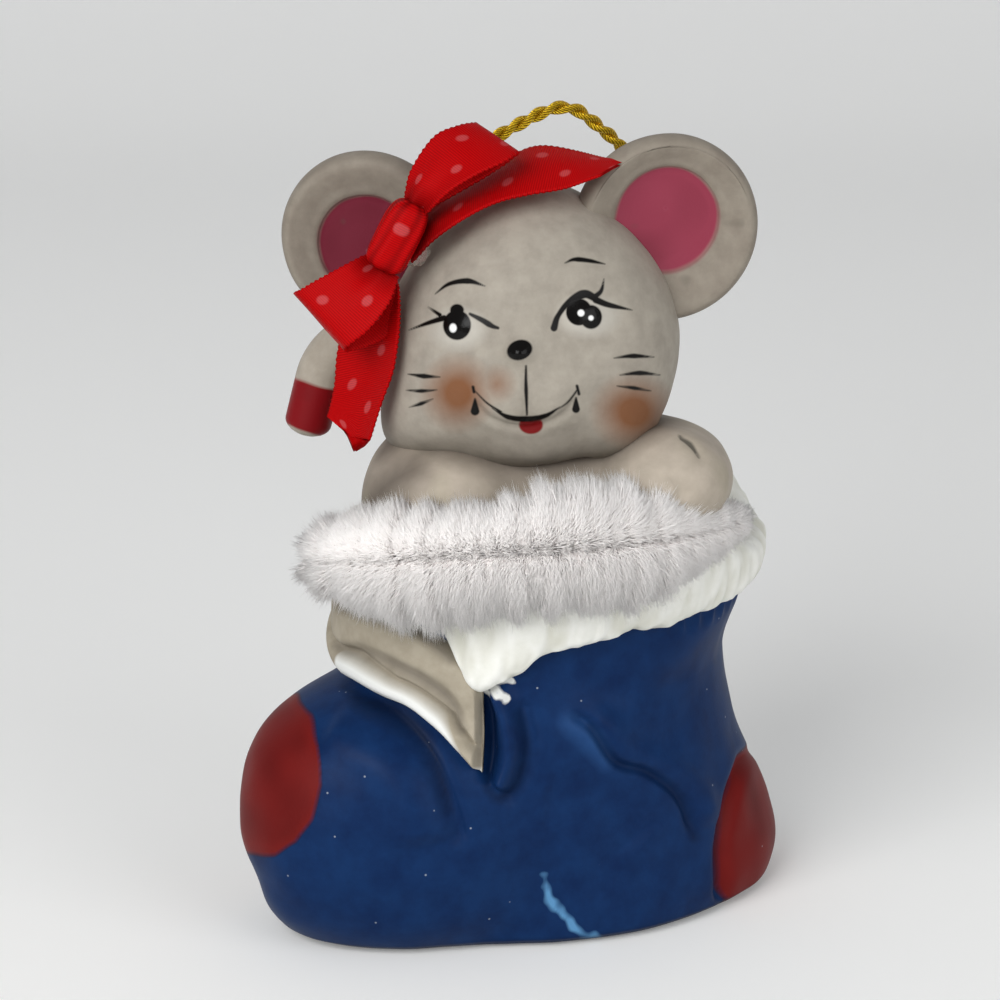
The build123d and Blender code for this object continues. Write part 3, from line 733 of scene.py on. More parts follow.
# %% Lapel
LAPEL_UPPER = [(334, 596), (360, 606), (400, 616), (428, 630), (456, 648), (472, 668), (482, 690)]
LAPEL_LOWER = [(352, 668), (366, 682), (392, 696), (416, 706), (440, 726), (462, 750), (482, 772)]
LAPEL_BEHIND = np.array([[(0.45, 1.0), (0.45, 4.0)]])  # turn and rise of both edges, out of sight
LAPEL_CREASE = [(338, 646), (368, 656), (415, 679), (446, 701), (462, 730)]
LAPEL_SHADE = ([(340, 606), (392, 622), (424, 636), (450, 660)], (6, 12, 10, 4))
LAPEL_COLUMNS, LAPEL_ROWS = 140, 60
TUCK_UNDER_CUFF = 4.4
LAPEL_LIFT = 2.1


def stocking_lay(edge):
    """The angle and the height of points on the stocking."""
    return np.stack([np.mod(stocking_place(edge)[0], 2 * np.pi), edge[:, 2]], axis=-1)


edges = np.stack([stocking_lay(onto_stocking(line)) for line in (LAPEL_UPPER, LAPEL_LOWER)], axis=1)
edges = curve_through(np.concatenate([edges[:1] + LAPEL_BEHIND, edges]), LAPEL_COLUMNS)
to_tip = np.linspace(1, 0, LAPEL_COLUMNS)
edges[:, 0, 1] += TUCK_UNDER_CUFF * ramp(to_tip, 0.5, 0.72)
share = np.linspace(0, 1, LAPEL_ROWS)[:, None]
lay = edges[None, :, 0] + share[..., None] * (edges[None, :, 1] - edges[None, :, 0])
turn, rise = lay[..., 0], lay[..., 1]
rim = np.minimum(np.minimum(share, 1 - share) * 9, 1)
lift = LAPEL_LIFT * np.sqrt(1 - (1 - rim) ** 2)
lift = lift - bell((share - 0.72) / 0.045) + 0.5 * bell((share - 0.86) / 0.1)
lift = lift * ramp(to_tip, 0, 0.04)[None]
pixels = photo_pixels(stocking_points(turn, rise, lift))
lift = lift + folds(pixels, [(-0.9, 8, LAPEL_CREASE)])
front_face = stocking_points(turn, rise, lift)
front_face += 0.15 * lumps(front_face, 3.0, 31)[..., None] * (0, -1, 0)
back_face = stocking_points(turn, rise, np.full(lift.shape, -0.5))
grid = np.concatenate([front_face, back_face[::-1]])
pale = 0.78 + 0.2 * ramp(1 - to_tip, 0.72, 0.95) + 0.5 * (1 - ramp(1 - to_tip, 0.12, 0.2)) - share
pale = np.concatenate([pale, np.ones_like(lift)]) * 6
# Shade painted darker along the crease and along the top, under the pile.
painted_shadow_lines = strokes(pixels, [(LAPEL_CREASE, (3, 7, 10, 9, 3)), LAPEL_SHADE])
shadow = np.concatenate([painted_shadow_lines / PIXELS_PER_MM, np.full_like(lift, OFF_FRONT)])
# Bare bisque: dull, warm grey, with shade painted darker in the crease and along the top under the pile.
lapel_bisque = painted(
    "bare_bisque_lapel", "#A79E8D", "#978E7D", 0.6,
    [("pale", "#DFE0DC", 0.5, 0.3, 1.0), ("shadow", "#57514A", 0.7, 0.9, 0.75)], grain=3.0,
)
lapel = skin("lapel", grid.transpose(1, 0, 2), attributes={"pale": pale.T, "shadow": shadow.T})
settle(lapel, lapel_bisque, "white_porcelain", "figurine", "cuff_lapel")

# %% [markdown]
# ## The mouse's body
# Chest, arms and paws were cast in one and are soft all over. Metaballs would do it but can't be steered
# closely; here the ovals' distances are blended, and the surface is found along rays from one point
# inside them all, by halving.

# %% Torso and arms
BODY_OVALS = [
    ((1.2, -0.5, 54.0), (20.0, 16.0, 13.0)),
    ((17.8, -6.0, 56.8), (7.8, 9.5, 6.8)), ((17.2, -13.0, 58.4), (7.2, 7.2, 6.0)),
    ((-12.5, -7.0, 53.5), (7.2, 8.5, 9.0)), ((-8.8, -14.2, 56.5), (7.0, 6.0, 5.5)),
]
BODY_MIDDLE = np.array([1.0, -5.0, 55.0])
BODY_BLEND = 1.1
HEAD_MIDDLE = np.array([0.9, -4.0, 75.4])
HEAD_HALVES = np.array([18.0, 16.0, 17.8])
PAW_DENTS = [
    (-0.5, 5, [(640, 470), (650, 485), (648, 500)]), (-0.5, 5, [(668, 470), (680, 484), (682, 500)]),
    (-0.35, 4, [(680, 436), (694, 446), (704, 462)]),
]
WORN_MARKS = [([(678, 435), (692, 444), (702, 458)], (2, 5, 2))]
# Shade painted brown down the shoulder, under the head.
SHOULDER_SHADE_MARKS = [([(412, 470), (386, 486), (362, 516)], (20, 30, 34))]

rays = ball_rays(320, 170, 0.004)
near, far = np.zeros(rays.shape[:-1]), np.full(rays.shape[:-1], 60.0)
for step in range(26):
    reach = (near + far) / 2
    points = BODY_MIDDLE + rays * reach[..., None]
    blend = 0
    for middle, sizes in BODY_OVALS:
        away = (np.linalg.norm((points - middle) / sizes, axis=-1) - 1) * min(sizes)
        blend = blend + np.exp(-np.clip(away, -40, 60) / BODY_BLEND)
    inside = -BODY_BLEND * np.log(blend) < 0
    near, far = np.where(inside, reach, near), np.where(inside, far, reach)
grid = BODY_MIDDLE + rays * near[..., None]
pixels = photo_pixels(grid)
front = ramp(-grid[..., 1], 0, 4)
grid += rays * (front * folds(pixels, PAW_DENTS) + 0.12 * lumps(grid, 3.0, 41))[..., None]
from_head = 17 * (np.linalg.norm((grid - HEAD_MIDDLE) / HEAD_HALVES, axis=-1) - 1)
torso = skin("torso_and_arms", grid, attributes={
    "worn": front_strokes(pixels, front, WORN_MARKS), "grime": 0.75 + lumps(grid, 5.0, 42) + (1 - front),
    # Painted shade near the head and down the shoulder.
    "painted_shade": np.minimum(from_head - 2.6, front_strokes(pixels, front, SHOULDER_SHADE_MARKS)),
})
# Bare grey bisque: matt and even, with brown shade painted in the hollows under the head and down one
# shoulder.
grey_bisque = painted(
    "grey_bisque_limbs", "#B0A597", "#A59B8D", 0.6,
    [
        ("painted_shade", "#3E342D", 0.65, 2.8, 0.85), ("grime", "#9A9678", 0.6, 0.5, 0.35),
        ("worn", "#3C3A34", 0.6, 0.12, 0.8),
    ],
)
settle(torso, grey_bisque, "grey_porcelain", "figurine", "mouse_torso", "left_arm", "right_arm")

# %% [markdown]
# ## The head
# A hollow egg, wider at the jaw, with low hills for muzzle, nose, cheeks and eyes. The hills' places are
# read off the picture, and their sizes are in pixels there. The grid's poles are at the face and the nape,
# with most rows in front, where the paint needs them.

# %% Head form
FACE_ROWS, NAPE_ROWS, HEAD_COLUMNS = 190, 56, 400
POLE_GAP = 0.003
HEAD_HILLS = [
    (1.9, (524, 396), (58, 44)), (0.8, (492, 398), (26, 22)), (0.8, (556, 393), (26, 22)),  # muzzle
    (1.5, (519.6, 350), (14, 11)), (0.5, (524, 330), (20, 24)),  # nose and its bridge
    (-1.1, (456, 328), (34, 27)), (1.1, (457, 327), (22, 18)),  # eye sockets and eyes
    (-1.1, (586, 315), (34, 27)), (1.1, (587, 315), (22, 18)),
    (0.7, (420, 402), (40, 44)), (0.6, (632, 388), (42, 46)),  # cheeks
    (1.5, (418, 436), (36, 26)), (1.3, (618, 434), (36, 24)), (1.6, (396, 420), (26, 34)),  # jaw
    (1.0, (532, 448), (44, 15)),  # chin
]
HEAD_CREASES = [
    (-0.45, 5, [(474, 390), (487, 404), (501, 414), (523, 420), (541, 416), (559, 407), (578, 389)]),  # mouth
    (-0.3, 4, [(526, 364), (526, 390), (527, 416)]),
    (-0.8, 6, [(424, 461), (470, 470), (509, 474), (559, 466), (604, 458)]),  # under the chin
]

ring = np.concatenate([np.linspace(POLE_GAP, 1.25, FACE_ROWS), np.linspace(1.27, np.pi - POLE_GAP, NAPE_ROWS)])
turn, ring = np.meshgrid(round_angles(HEAD_COLUMNS), ring, indexing="xy")
rays = np.stack([np.sin(ring) * np.cos(turn), -np.cos(ring), np.sin(ring) * np.sin(turn)], axis=-1)
rays[..., 0] *= 1 - (0.14 - 0.04 * rays[..., 0]) * rays[..., 2] - 0.08 * np.maximum(rays[..., 2], 0) ** 2
rays[..., 2] *= 1 + 0.07 * ramp(-rays[..., 2], 0, 0.8)
grid = HEAD_MIDDLE + rays * HEAD_HALVES
pixels = photo_pixels(grid)
front = ramp(-grid[..., 1], 2, 8)
hills = front * (mounds(pixels, HEAD_HILLS) + folds(pixels, HEAD_CREASES))
grid += rays * (hills + 0.08 * lumps(grid, 3.0, 51))[..., None]
print("head is", np.ptp(grid.reshape(-1, 3), axis=0).round(1), "mm across")

# %% [markdown]
# Face paint: every stroke is a curve in the picture with a width that swells and tapers, as a brush
# leaves it. A vertex carries its distance to the nearest stroke of each colour.

# %% Face paint
BLACK_MARKS = [
    ([(470, 314), (482, 320), (492, 326), (498, 328)], (3, 5, 6, 3)),  # lids and lashes
    ([(444, 318), (428, 323), (409, 330)], (6, 4, 1)), ([(440, 315), (434, 311), (428, 307)], (4, 3, 1)),
    ([(554, 328), (558, 316), (569, 302), (584, 294), (595, 298)], (7, 5, 6, 9, 7)),
    ([(593, 298), (601, 291), (604, 279)], (6, 4, 1)), ([(596, 300), (609, 305), (632, 310)], (7, 5, 1)),
    ([(435, 294), (449, 284), (468, 281), (485, 286)], (1, 4, 6, 1)),  # brows
    ([(565, 263), (574, 259.5), (588, 260.5), (605, 264)], (1, 5, 4, 1)),
    ([(526, 366), (526, 385), (527, 415)], (2, 4, 2)),  # lip and mouth
    ([(474, 390), (487, 403), (501, 412)], (1, 2, 2.5)), ([(558, 409), (568, 402), (578, 389)], (1, 2, 2)),
    ([(492, 408), (508, 417), (527, 419), (545, 416), (560, 407)], (1, 5, 6, 5, 1)),
    ([(473, 387), (474, 392)], (3, 3)), ([(475, 399), (475, 411)], (2, 9)),  # dimples
    ([(577, 386), (579, 394)], (3, 3)), ([(576, 398), (576, 409)], (2, 8)),
    ([(408, 374), (422, 376), (440, 377)], (1, 5, 1)),  # whiskers
    ([(406, 390), (420, 391), (437, 390)], (1, 4, 1)), ([(409, 407), (420, 404), (433, 399)], (1, 4, 1)),
    ([(614, 358), (632, 356), (654, 357)], (1, 5, 1)),
    ([(620, 375), (640, 373), (660, 375)], (1, 5, 1)), ([(617, 386), (634, 388), (651, 391)], (1, 4, 1)),
]
NOSE = ((519.6, 350), (13, 10), -18)
PUPILS = [
    ((457, 325), (14, 15)), ((457, 310), (7, 6)), ((579, 312), (13, 13.5)), ((591, 317), (11, 12)), NOSE,
]
GLINTS = [((453, 328), (3.6, 4.4)), ((581, 313), (3.4, 3.4)), ((591, 318), (2.6, 2.6))]
EYES = [((458, 329), (26, 19)), ((588, 316), (28, 19))]
TONGUE, LIP_LEVEL = ((531, 425), (12, 9)), 419
# Shade painted dark brown below the chin level and along the crease under the chin.
CHIN_LEVEL = 456
CHIN_SHADE_MARKS = [([(424, 459), (470, 466), (509, 470), (559, 461), (600, 455)], (8, 14, 16, 14, 8))]
BLUSHES = [((458, 393), (26, 27)), ((634, 412), (30, 27))]
SMALL_BLUSH = ((497, 384), (10, 10))

pixels = photo_pixels(grid)
face = {
    # Painted shade on the lower face and under the chin.
    "painted_shade": np.minimum(CHIN_LEVEL - pixels[..., 1], strokes(pixels, CHIN_SHADE_MARKS)),
    "blush": np.minimum(spots(pixels, BLUSHES), spots(pixels, [SMALL_BLUSH]) + 3), "eyes": spots(pixels, EYES),
    "tongue": np.maximum(spots(pixels, [TONGUE]), LIP_LEVEL - pixels[..., 1]),
    "black": strokes(pixels, BLACK_MARKS), "pupils": spots(pixels, PUPILS), "glints": spots(pixels, GLINTS),
}
hidden = (1 - front) * OFF_FRONT * PIXELS_PER_MM
# Brush paint on bisque: the black has a little gloss, the eyes and the nose more, the blush is dry and soft.
# The lower face and the crease under the chin are painted darker brown as shade.
face_paint = painted(
    "painted_grey_bisque_face", "#A19A8E", "#938C81", 0.58,
    [
        ("painted_shade", "#463C33", 0.6, 30.0, 0.8), ("blush", "#76431A", 0.58, 15.0, 0.88),
        ("eyes", "#BDB9B0", 0.5, 6.0, 0.6), ("tongue", "#701214", 0.35, 0.8, 1.0),
        ("black", "#0B0908", 0.35, 0.8, 1.0), ("pupils", "#0B0908", 0.18, 0.8, 1.0),
        ("glints", "#E8E8E6", 0.3, 0.8, 1.0),
    ],
)
head = skin("head", grid, attributes={label: away + hidden for label, away in face.items()})
settle(head, face_paint, "grey_porcelain", "figurine", "head_shell")

# %% [markdown]
# ## Ears
# Each ear was a cupped disc, luted to the head. A flattened ball would lack the sharp rim and the dish, so
# a profile is turned about the ear's own axis. The dish is painted pink and has darkened in its middle; the
# right ear's dish is painted a darker pink as shade under the bow.

# %% Ears
EAR_PROFILE = [
    (0, 2.9), (0.5, 2.8), (0.82, 2.1), (0.97, 0.9), (1.0, -0.4), (0.96, -1.8), (0.89, -2.4), (0.8, -2.1),
    (0.69, -1.5), (0.62, -1.2), (0.58, -0.9), (0.53, -0.45), (0.3, -0.2), (0, -0.15),
]  # share of the radius, and millimetres towards the back
EAR_ROWS, EAR_COLUMNS, RIM_ROW = 110, 220, 50
DISH_SHARE = 0.565
OFF_DISH = 6.0


def ear(name, middle, radius, outward, dish_rise, dish_paint, node):
    """A dished ear: a profile from the middle of its back over the round rim to the middle of the dish,
    turned about the ear's axis. The dish's middle lies that far above the rim's."""
    share, back = np.split(curve_through(EAR_PROFILE, EAR_ROWS), 2, axis=1)
    turn = np.radians(outward)
    facing = np.array([np.sin(turn), -np.cos(turn), 0.0])
    sideways = np.array([np.cos(turn), np.sin(turn), 0.0])
    spread = turned(round_angles(EAR_COLUMNS), sideways, (0, 0, 1))
    grid = middle + radius * share[..., None] * spread - back[..., None] * facing
    grid = grid + 0.15 * lumps(grid, 4.0, 61)[..., None] * facing
    front = np.arange(EAR_ROWS)[:, None] > RIM_ROW
    grid[..., 2] += np.where(front, dish_rise * (1 - np.abs(share)), 0)
    dish = np.where(front, radius * (np.abs(share) - DISH_SHARE), OFF_DISH) + 0.25 * lumps(grid, 3.0, 62)
    smudge = np.where(front, 1.1 + 1.6 * lumps(grid, 5.0, 63) + np.maximum(dish + 1.5, 0), OFF_DISH)
    scuff = np.where(front, 2.0, OFF_DISH) + 2.2 * lumps(grid, 2.2, 64)
    paint = painted(
        f"{name}_painted_bisque", "#8B8377", "#7F766B", 0.6,
        [
            ("dish", dish_paint, 0.42, 0.3, 1.0), ("smudge", "#5A1522", 0.45, 1.2, 0.6),
            ("scuff", "#4C483F", 0.6, 0.4, 0.5),
        ],
    )
    piece = skin(name, grid, attributes={"dish": dish, "smudge": smudge, "scuff": scuff})
    return settle(piece, paint, "grey_porcelain", "figurine", node)


ear("ear_left", np.array([17.1, -3.4, 87.6]), 11.5, 12, 2.4, "#883446", "left_ear")
# The right ear's dish lies in shade under the bow, so its pink is painted darker.
ear("ear_right", np.array([-18.9, -2.5, 86.0]), 10.8, -12, -1.6, "#6E2232", "right_ear")

# %% [markdown]
# ## The candy cane
# A porcelain cane leans behind the mouse, striped in red. A tube on a path of stem, half circle and tip is
# all it needs; its far end is rounded, and the stripes are measured along it from there.

# %% Candy cane
CANE_LEAN = np.radians(14.0)
CANE_FOOT = np.array([-13.5, 13.5, 48.0])
CANE_STEM, CROOK_RADIUS, CANE_TIP, CANE_RADIUS = 12.5, 8.0, 7.4, 3.0
CANE_SIDES = 64
STRIPE_PITCH, STRIPE_HALF, STRIPE_START = 13.5, 3.2, 3.4

cane_up = np.array([np.sin(CANE_LEAN), 0, np.cos(CANE_LEAN)])
cane_side = np.array([-np.cos(CANE_LEAN), 0, np.sin(CANE_LEAN)])
bow = np.linspace(0, np.pi, 60)[:, None]
crook = CANE_FOOT + CANE_STEM * cane_up
crook = crook + CROOK_RADIUS * (1 - np.cos(bow)) * cane_side + CROOK_RADIUS * np.sin(bow) * cane_up
stem = CANE_FOOT + np.linspace(0, CANE_STEM, 24)[:-1, None] * cane_up
tip = crook[-1] - np.linspace(0, CANE_TIP, 24)[1:, None] * cane_up
path = np.concatenate([stem, crook, tip])
from_tip = run_lengths(path)[-1] - run_lengths(path)
radius = CANE_RADIUS * np.sqrt(1 - np.clip(1 - from_tip / 1.6, 0, 1) ** 2 * 0.75)
grid = tube(path, radius, CANE_SIDES)
wave = from_tip[:, None] - STRIPE_START + 0.7 * np.sin(round_angles(CANE_SIDES))[None]
wave = wave + 0.3 * lumps(grid, 3.0, 71)
stripe = np.abs(np.mod(wave + STRIPE_PITCH / 2, STRIPE_PITCH) - STRIPE_PITCH / 2) - STRIPE_HALF
# Paint on bisque as on the body, with a slightly glossier red that is chipped darker in places.
cane_paint = painted(
    "painted_bisque_cane", "#ABA295", "#9E9588", 0.5,
    [("stripe", "#7A0911", 0.4, 0.2, 1.0), ("chip", "#520A10", 0.5, 0.5, 0.5)],
)
chip = np.maximum(stripe, 0.5 + lumps(grid, 2.5, 72))
cane = skin("candy_cane_piece", grid, attributes={"stripe": stripe, "chip": chip})
settle(cane, cane_paint, "striped_porcelain", "figurine", "candy_cane")

# %% [markdown]
# ## The chenille stem
# A jumbo chenille stem: two wires twisted together that grip thousands of short fibres. It could be a hair
# system, but hair isn't exported, so every fibre is a thin closed pyramid. The wire bends along an arc
# through three points on the cuff; the upper fibres stand up from it and the lower ones hang.

# %% Stem arc
TRIM_POINTS = np.array([(-27.0, -9.0, 45.8), (1.0, -24.0, 52.4), (27.0, -6.0, 51.4)])
TRIM_SAG = 1.4

first, second = TRIM_POINTS[1] - TRIM_POINTS[0], TRIM_POINTS[2] - TRIM_POINTS[0]
normal = np.cross(first, second)
towards = np.cross(normal, first) * (second @ second) + np.cross(second, normal) * (first @ first)
arc_middle = TRIM_POINTS[0] + towards / (2 * normal @ normal)
arc_radius = np.linalg.norm(TRIM_POINTS[0] - arc_middle)
start_ray = (TRIM_POINTS[0] - arc_middle) / arc_radius
turn_ray = np.cross(unit(normal), start_ray)
end_ray = TRIM_POINTS[2] - arc_middle
arc_angle = np.mod(np.arctan2(end_ray @ turn_ray, end_ray @ start_ray), 2 * np.pi)
arc_length = arc_radius * arc_angle


def wire_point(share):
    """A point of the stem's arc, which sags a little less at its right end, and the directions along it,
    away from the arc's middle and upwards there."""
    angle = share * arc_angle
    outward, along = turned(angle, start_ray, turn_ray), turned(angle, turn_ray, -start_ray)
    upward = np.cross(along, outward)
    sag = TRIM_SAG * (1 - ramp(share, 0.1, 0.8))
    point = arc_middle + arc_radius * outward + sag[..., None] * (0, 0, 1)
    return point, along, outward, upward * np.sign(upward[..., 2:])


print("stem arc", arc_length.round(1), "mm long")

# %% Stem wires
WIRE_TWIST, WIRE_RADIUS, WIRE_OFFSET = 3.2, 0.4, 0.42

share = np.linspace(0.08, 0.975, 420)
point, along, outward, upward = wire_point(share)
twist = 2 * np.pi * share * arc_length / WIRE_TWIST
# Galvanised steel: a dull grey metal.
steel = painted("galvanised_wire", "#9A9A98", "#8C8C8A", 0.4, specular=0.5)
steel.node_tree.nodes["Principled BSDF"].inputs["Metallic"].default_value = 0.9
for number, nodes in enumerate((["chenille_wire"], [])):
    path = point + WIRE_OFFSET * turned(twist + np.pi * number, outward, upward)
    wire = skin(f"stem_wire_{number}", tube(path, WIRE_RADIUS, 8))
    settle(wire, steel, "stem_wire", "figurine", *nodes)

# %% Fibres
PILE_SHARES = (0.07, 0.14, 0.24, 0.34, 0.47, 0.56, 0.65, 0.72, 0.77, 0.82, 0.92, 0.99)
PILE_ABOVE = (3.6, 5.6, 7.0, 6.4, 6.6, 8.4, 8.2, 6.8, 6.2, 4.6, 3.0, 1.4)
PILE_BELOW = (3.6, 5.4, 8.0, 8.6, 7.4, 7.6, 7.9, 7.0, 5.8, 4.6, 2.4, 1.4)
TUFTS = 34  # loose tufts along the stem
FIBRE_GIRTH = (0.06, 0.1)  # thicker than the real ones, which wouldn't show


def pile_reach(share, angle):
    """How far the pile reaches from the wire at an angle from straight outwards: the height above or below,
    less in front, with a shallow valley along the wire."""
    above, below = np.interp(share, PILE_SHARES, PILE_ABOVE), np.interp(share, PILE_SHARES, PILE_BELOW)
    valley = 1 - 0.45 * bell(angle / np.radians(10))
    return np.where(angle > 0, above, below) * (0.55 + 0.45 * np.abs(np.sin(angle))) * valley


def fibres(name, count, low, high, seed):
    """Short fibres, each a thin pyramid of three sides: its foot in the core, its tip along its own
    direction round the wire, drawn towards the middle of its tuft. Angles are from straight outwards,
    positive up."""
    pick = np.random.default_rng(seed)
    share = pick.uniform(PILE_SHARES[0], PILE_SHARES[-1], count)
    base, along, outward, upward = wire_point(share)
    angle = np.radians(pick.uniform(low, high, count))
    tuft = np.round(share * TUFTS + 0.4 * np.sin(3 * angle) + pick.normal(0, 0.22, count)) / TUFTS
    lean = (tuft - share) * arc_length * 0.8 + pick.normal(0, 0.5, count)
    end = ramp(0.17 - share, 0.0, 0.1) - 0.5 * ramp(share - 0.93, 0.0, 0.06)
    size = pile_reach(share, angle) * pick.uniform(0.78, 1.1, count) * (1 + 0.1 * np.sin(tuft * 977.0))
    straight = unit(turned(angle, outward, upward) - end[:, None] * along)
    bend = lean[:, None] * along + pick.normal(0, 0.4, (count, 3)) + (0, 0, -0.3)
    foot = base + 0.55 * size[:, None] * straight + 0.3 * bend
    tip = base + size[:, None] * straight + bend
    across = unit(np.cross(straight, pick.normal(0, 1, (count, 3))))
    third = np.cross(straight, across)
    ring = turned(round_angles(3)[None], across[:, None], third[:, None])
    girth = pick.uniform(*FIBRE_GIRTH, count)[:, None, None]
    points = np.concatenate([foot[:, None] + girth * ring, tip[:, None]], axis=1).reshape(-1, 3)
    sides = np.array([(2, 1, 0), (0, 1, 3), (1, 2, 3), (2, 0, 3)])
    piece = new_piece(name, points, (sides[None] + 4 * np.arange(count)[:, None, None]).reshape(-1, 3))
    carry(piece, "tip", np.tile((0.0, 0.0, 0.0, 1.0), count))
    return piece


print("pile reaches", pile_reach(0.56, np.pi / 2).round(1), "mm above the wire")

# %% Pile
# Polyester fibre: white all through and dull; its colour is painted a little darker at the feet and brighter
# at the tips, as shade inside the pile and light on its surface.
chenille_white, tree, shader, where = start_material("polyester_chenille_fibre")
carried = add(tree, "ShaderNodeAttribute", attribute_name="tip").outputs["Fac"]
tints = {"Factor": carried, FIRST: linear("#FBF5F3"), SECOND: linear("#FFFDFB")}
whites = add(tree, "ShaderNodeMix", tints, data_type="RGBA").outputs[MIXED]
plug(tree, shader, {"Base Color": whites, "Roughness": 0.9, "Specular IOR Level": 0.1})

spin = round_angles(72)
round_wire = np.arctan2(np.sin(spin), np.cos(spin))
core_reach = (0.6 + 0.12 * np.abs(np.sin(round_wire))) * pile_reach(share[:, None], round_wire[None])
core_reach = core_reach * np.where(np.cos(spin) < 0, 0.4 + 0.6 * np.abs(np.sin(spin)), 1)
from_end = np.minimum(share - share[0], share[-1] - share) + 0.002
core_reach = core_reach * np.sqrt(1 - (1 - np.minimum(1, from_end / 0.05)) ** 2)[:, None]
core_way = turned(spin[None], outward[:, None], upward[:, None])
grid = point[:, None] + core_reach[..., None] * core_way
grid += (0.35 * lumps(grid, 1.6, 97))[..., None] * core_way
core = skin("pile_core", grid)
settle(fibres("pile_upper", 44000, 40, 108, 91), chenille_white, "chenille_pile", "figurine", "chenille_pile")
rest = [
    core, fibres("pile_lower", 44000, -104, -36, 92),
    fibres("pile_front", 40000, 0, 52, 93), fibres("pile_under", 40000, -52, 0, 94),
]
for piece in rest:
    settle(piece, chenille_white, "chenille_pile", "figurine")

# %% [markdown]
# ## The ribbon bow
# A bow of printed satin ribbon. Cloth simulation would fold it its own way; here each part is a strip
# between two edge lines that follow the picture, thickened to a woven ribbon. Its own flat coordinates, in
# millimetres along and across, carry the weave and the printed dots.

# %% Satin
RIBBON_WIDTH, RIBBON_THICKNESS = 10.0, 0.35
DOT_PITCH, DOT_ASIDE, DOT_RADIUS = 7.0, 2.2, 0.7
TOOTH_PITCH, TOOTH_DEPTH = 0.7, 0.4

# Woven satin: threads across that catch light in fine lines, paler dots, and shade painted dark red round
# the knot and in its pleats.
satin, tree, shader, where = start_material("woven_satin_ribbon_red")
layer = add(tree, "ShaderNodeUVMap", uv_map="lay").outputs[0]
weave = {"Vector": layer, "Scale": 1.1, "Distortion": 0.6, "Detail": 1}
threads = add(tree, "ShaderNodeTexWave", weave, bands_direction="X").outputs["Fac"]
tints = {"Factor": threads, FIRST: linear("#920305"), SECOND: linear("#B40609")}
colour = add(tree, "ShaderNodeMix", tints, data_type="RGBA").outputs[MIXED]
for attribute, edge, strength, code in (("dot", 0.15, 0.16, "#E09094"), ("painted_knot_shade", 2.4, 0.8, "#3E0203")):
    carried = add(tree, "ShaderNodeAttribute", attribute_name=attribute).outputs["Fac"]
    span = {VALUE: carried, FROM_LOW: edge, FROM_HIGH: -edge, TO_LOW: 0.0, TO_HIGH: strength}
    inside = add(tree, "ShaderNodeMapRange", span).outputs[0]
    coat = {"Factor": inside, FIRST: colour, SECOND: linear(code)}
    colour = add(tree, "ShaderNodeMix", coat, data_type="RGBA").outputs[MIXED]
relief = add(tree, "ShaderNodeBump", {"Height": threads, "Strength": 0.25, "Distance": GRIT_DEPTH}).outputs[0]
plug(tree, shader, {
    "Base Color": colour, "Normal": relief, "Roughness": 0.5, "Specular IOR Level": 0.04, "Anisotropic": 0.5,
})
print("ribbon", RIBBON_WIDTH, "mm wide, a dot every", DOT_PITCH / 2, "mm")

# %% Ribbon strips
KNOT_ENDS = placed([(415, 203, -13.6), (381, 268, -13.8)])
KNOT_SHADE_RADIUS = 5.0
STRIP_ROWS, STRIP_COLUMNS = 200, 34
NO_LENGTH = 1e-9  # keeps a pinched place of a strip from dividing by nothing


def ribbon(name, sections, end=None, bulge=0.0, pleat=0.0, seed=0):
    """A strip of ribbon through pairs of edge points, each given as picture place and depth, with its last
    row cut to the end line; thickened along its normals, with a toothed selvedge on both edges."""
    pairs = placed(sections)
    share = np.linspace(0, 1, STRIP_COLUMNS)
    cross = pairs[:, :1] + share[None, :, None] * (pairs[:, 1:] - pairs[:, :1])
    if end is not None:
        cut = along_line(share, np.linspace(0, 1, len(end)), placed(end))
        cross = np.concatenate([cross, cut[None]])
    sheet = curve_through(cross, STRIP_ROWS)
    along, across = np.gradient(sheet, axis=0), np.gradient(sheet, axis=1)
    normal = np.cross(along, across)
    area = np.linalg.norm(normal, axis=-1).sum()
    normal = unit(normal, NO_LENGTH)
    way = np.linspace(0, 1, STRIP_ROWS)[:, None]
    near_knot = bell(way / 0.2) + bell((1 - way) / 0.2)
    wave = bulge * np.sin(np.pi * share)[None] + pleat * np.sin(3 * np.pi * share + seed)[None] * near_knot
    sheet = sheet + (wave + 0.1 * lumps(sheet, 4.0, 81 + seed))[..., None] * normal
    length = np.cumsum(np.linalg.norm(np.gradient(sheet[:, STRIP_COLUMNS // 2], axis=0), axis=1))
    tooth = TOOTH_DEPTH * np.abs(np.mod(length / TOOTH_PITCH, 1) - 0.5)[:, None]
    sideways = unit(across, NO_LENGTH)
    sheet[:, 0] -= tooth * sideways[:, 0]
    sheet[:, -1] += tooth * sideways[:, -1]
    half = RIBBON_THICKNESS / 2
    grid = np.concatenate([sheet + half * normal, (sheet - half * normal)[:, ::-1]], axis=1)
    aside = RIBBON_WIDTH * (share - 0.5)
    flat = np.stack(np.broadcast_arrays(length[:, None], np.concatenate([aside, aside[::-1]])[None]), axis=-1)
    step = np.mod(length[:, None] + 2.0 * seed, DOT_PITCH)
    left = np.hypot(step - DOT_PITCH / 4, flat[..., 1] - DOT_ASIDE)
    right = np.hypot(step - 3 * DOT_PITCH / 4, flat[..., 1] + DOT_ASIDE)
    # Shade painted dark red round the knot.
    painted_knot_shade = np.linalg.norm(grid - KNOT_ENDS.mean(axis=0), axis=-1) - KNOT_SHADE_RADIUS
    dot = np.minimum(left, right) - DOT_RADIUS
    piece = skin(name, grid, uv=flat, attributes={"dot": dot, "painted_knot_shade": painted_knot_shade})
    return piece, length[-1], area


print("knot from", KNOT_ENDS[0].round(1), "to", KNOT_ENDS[1].round(1))

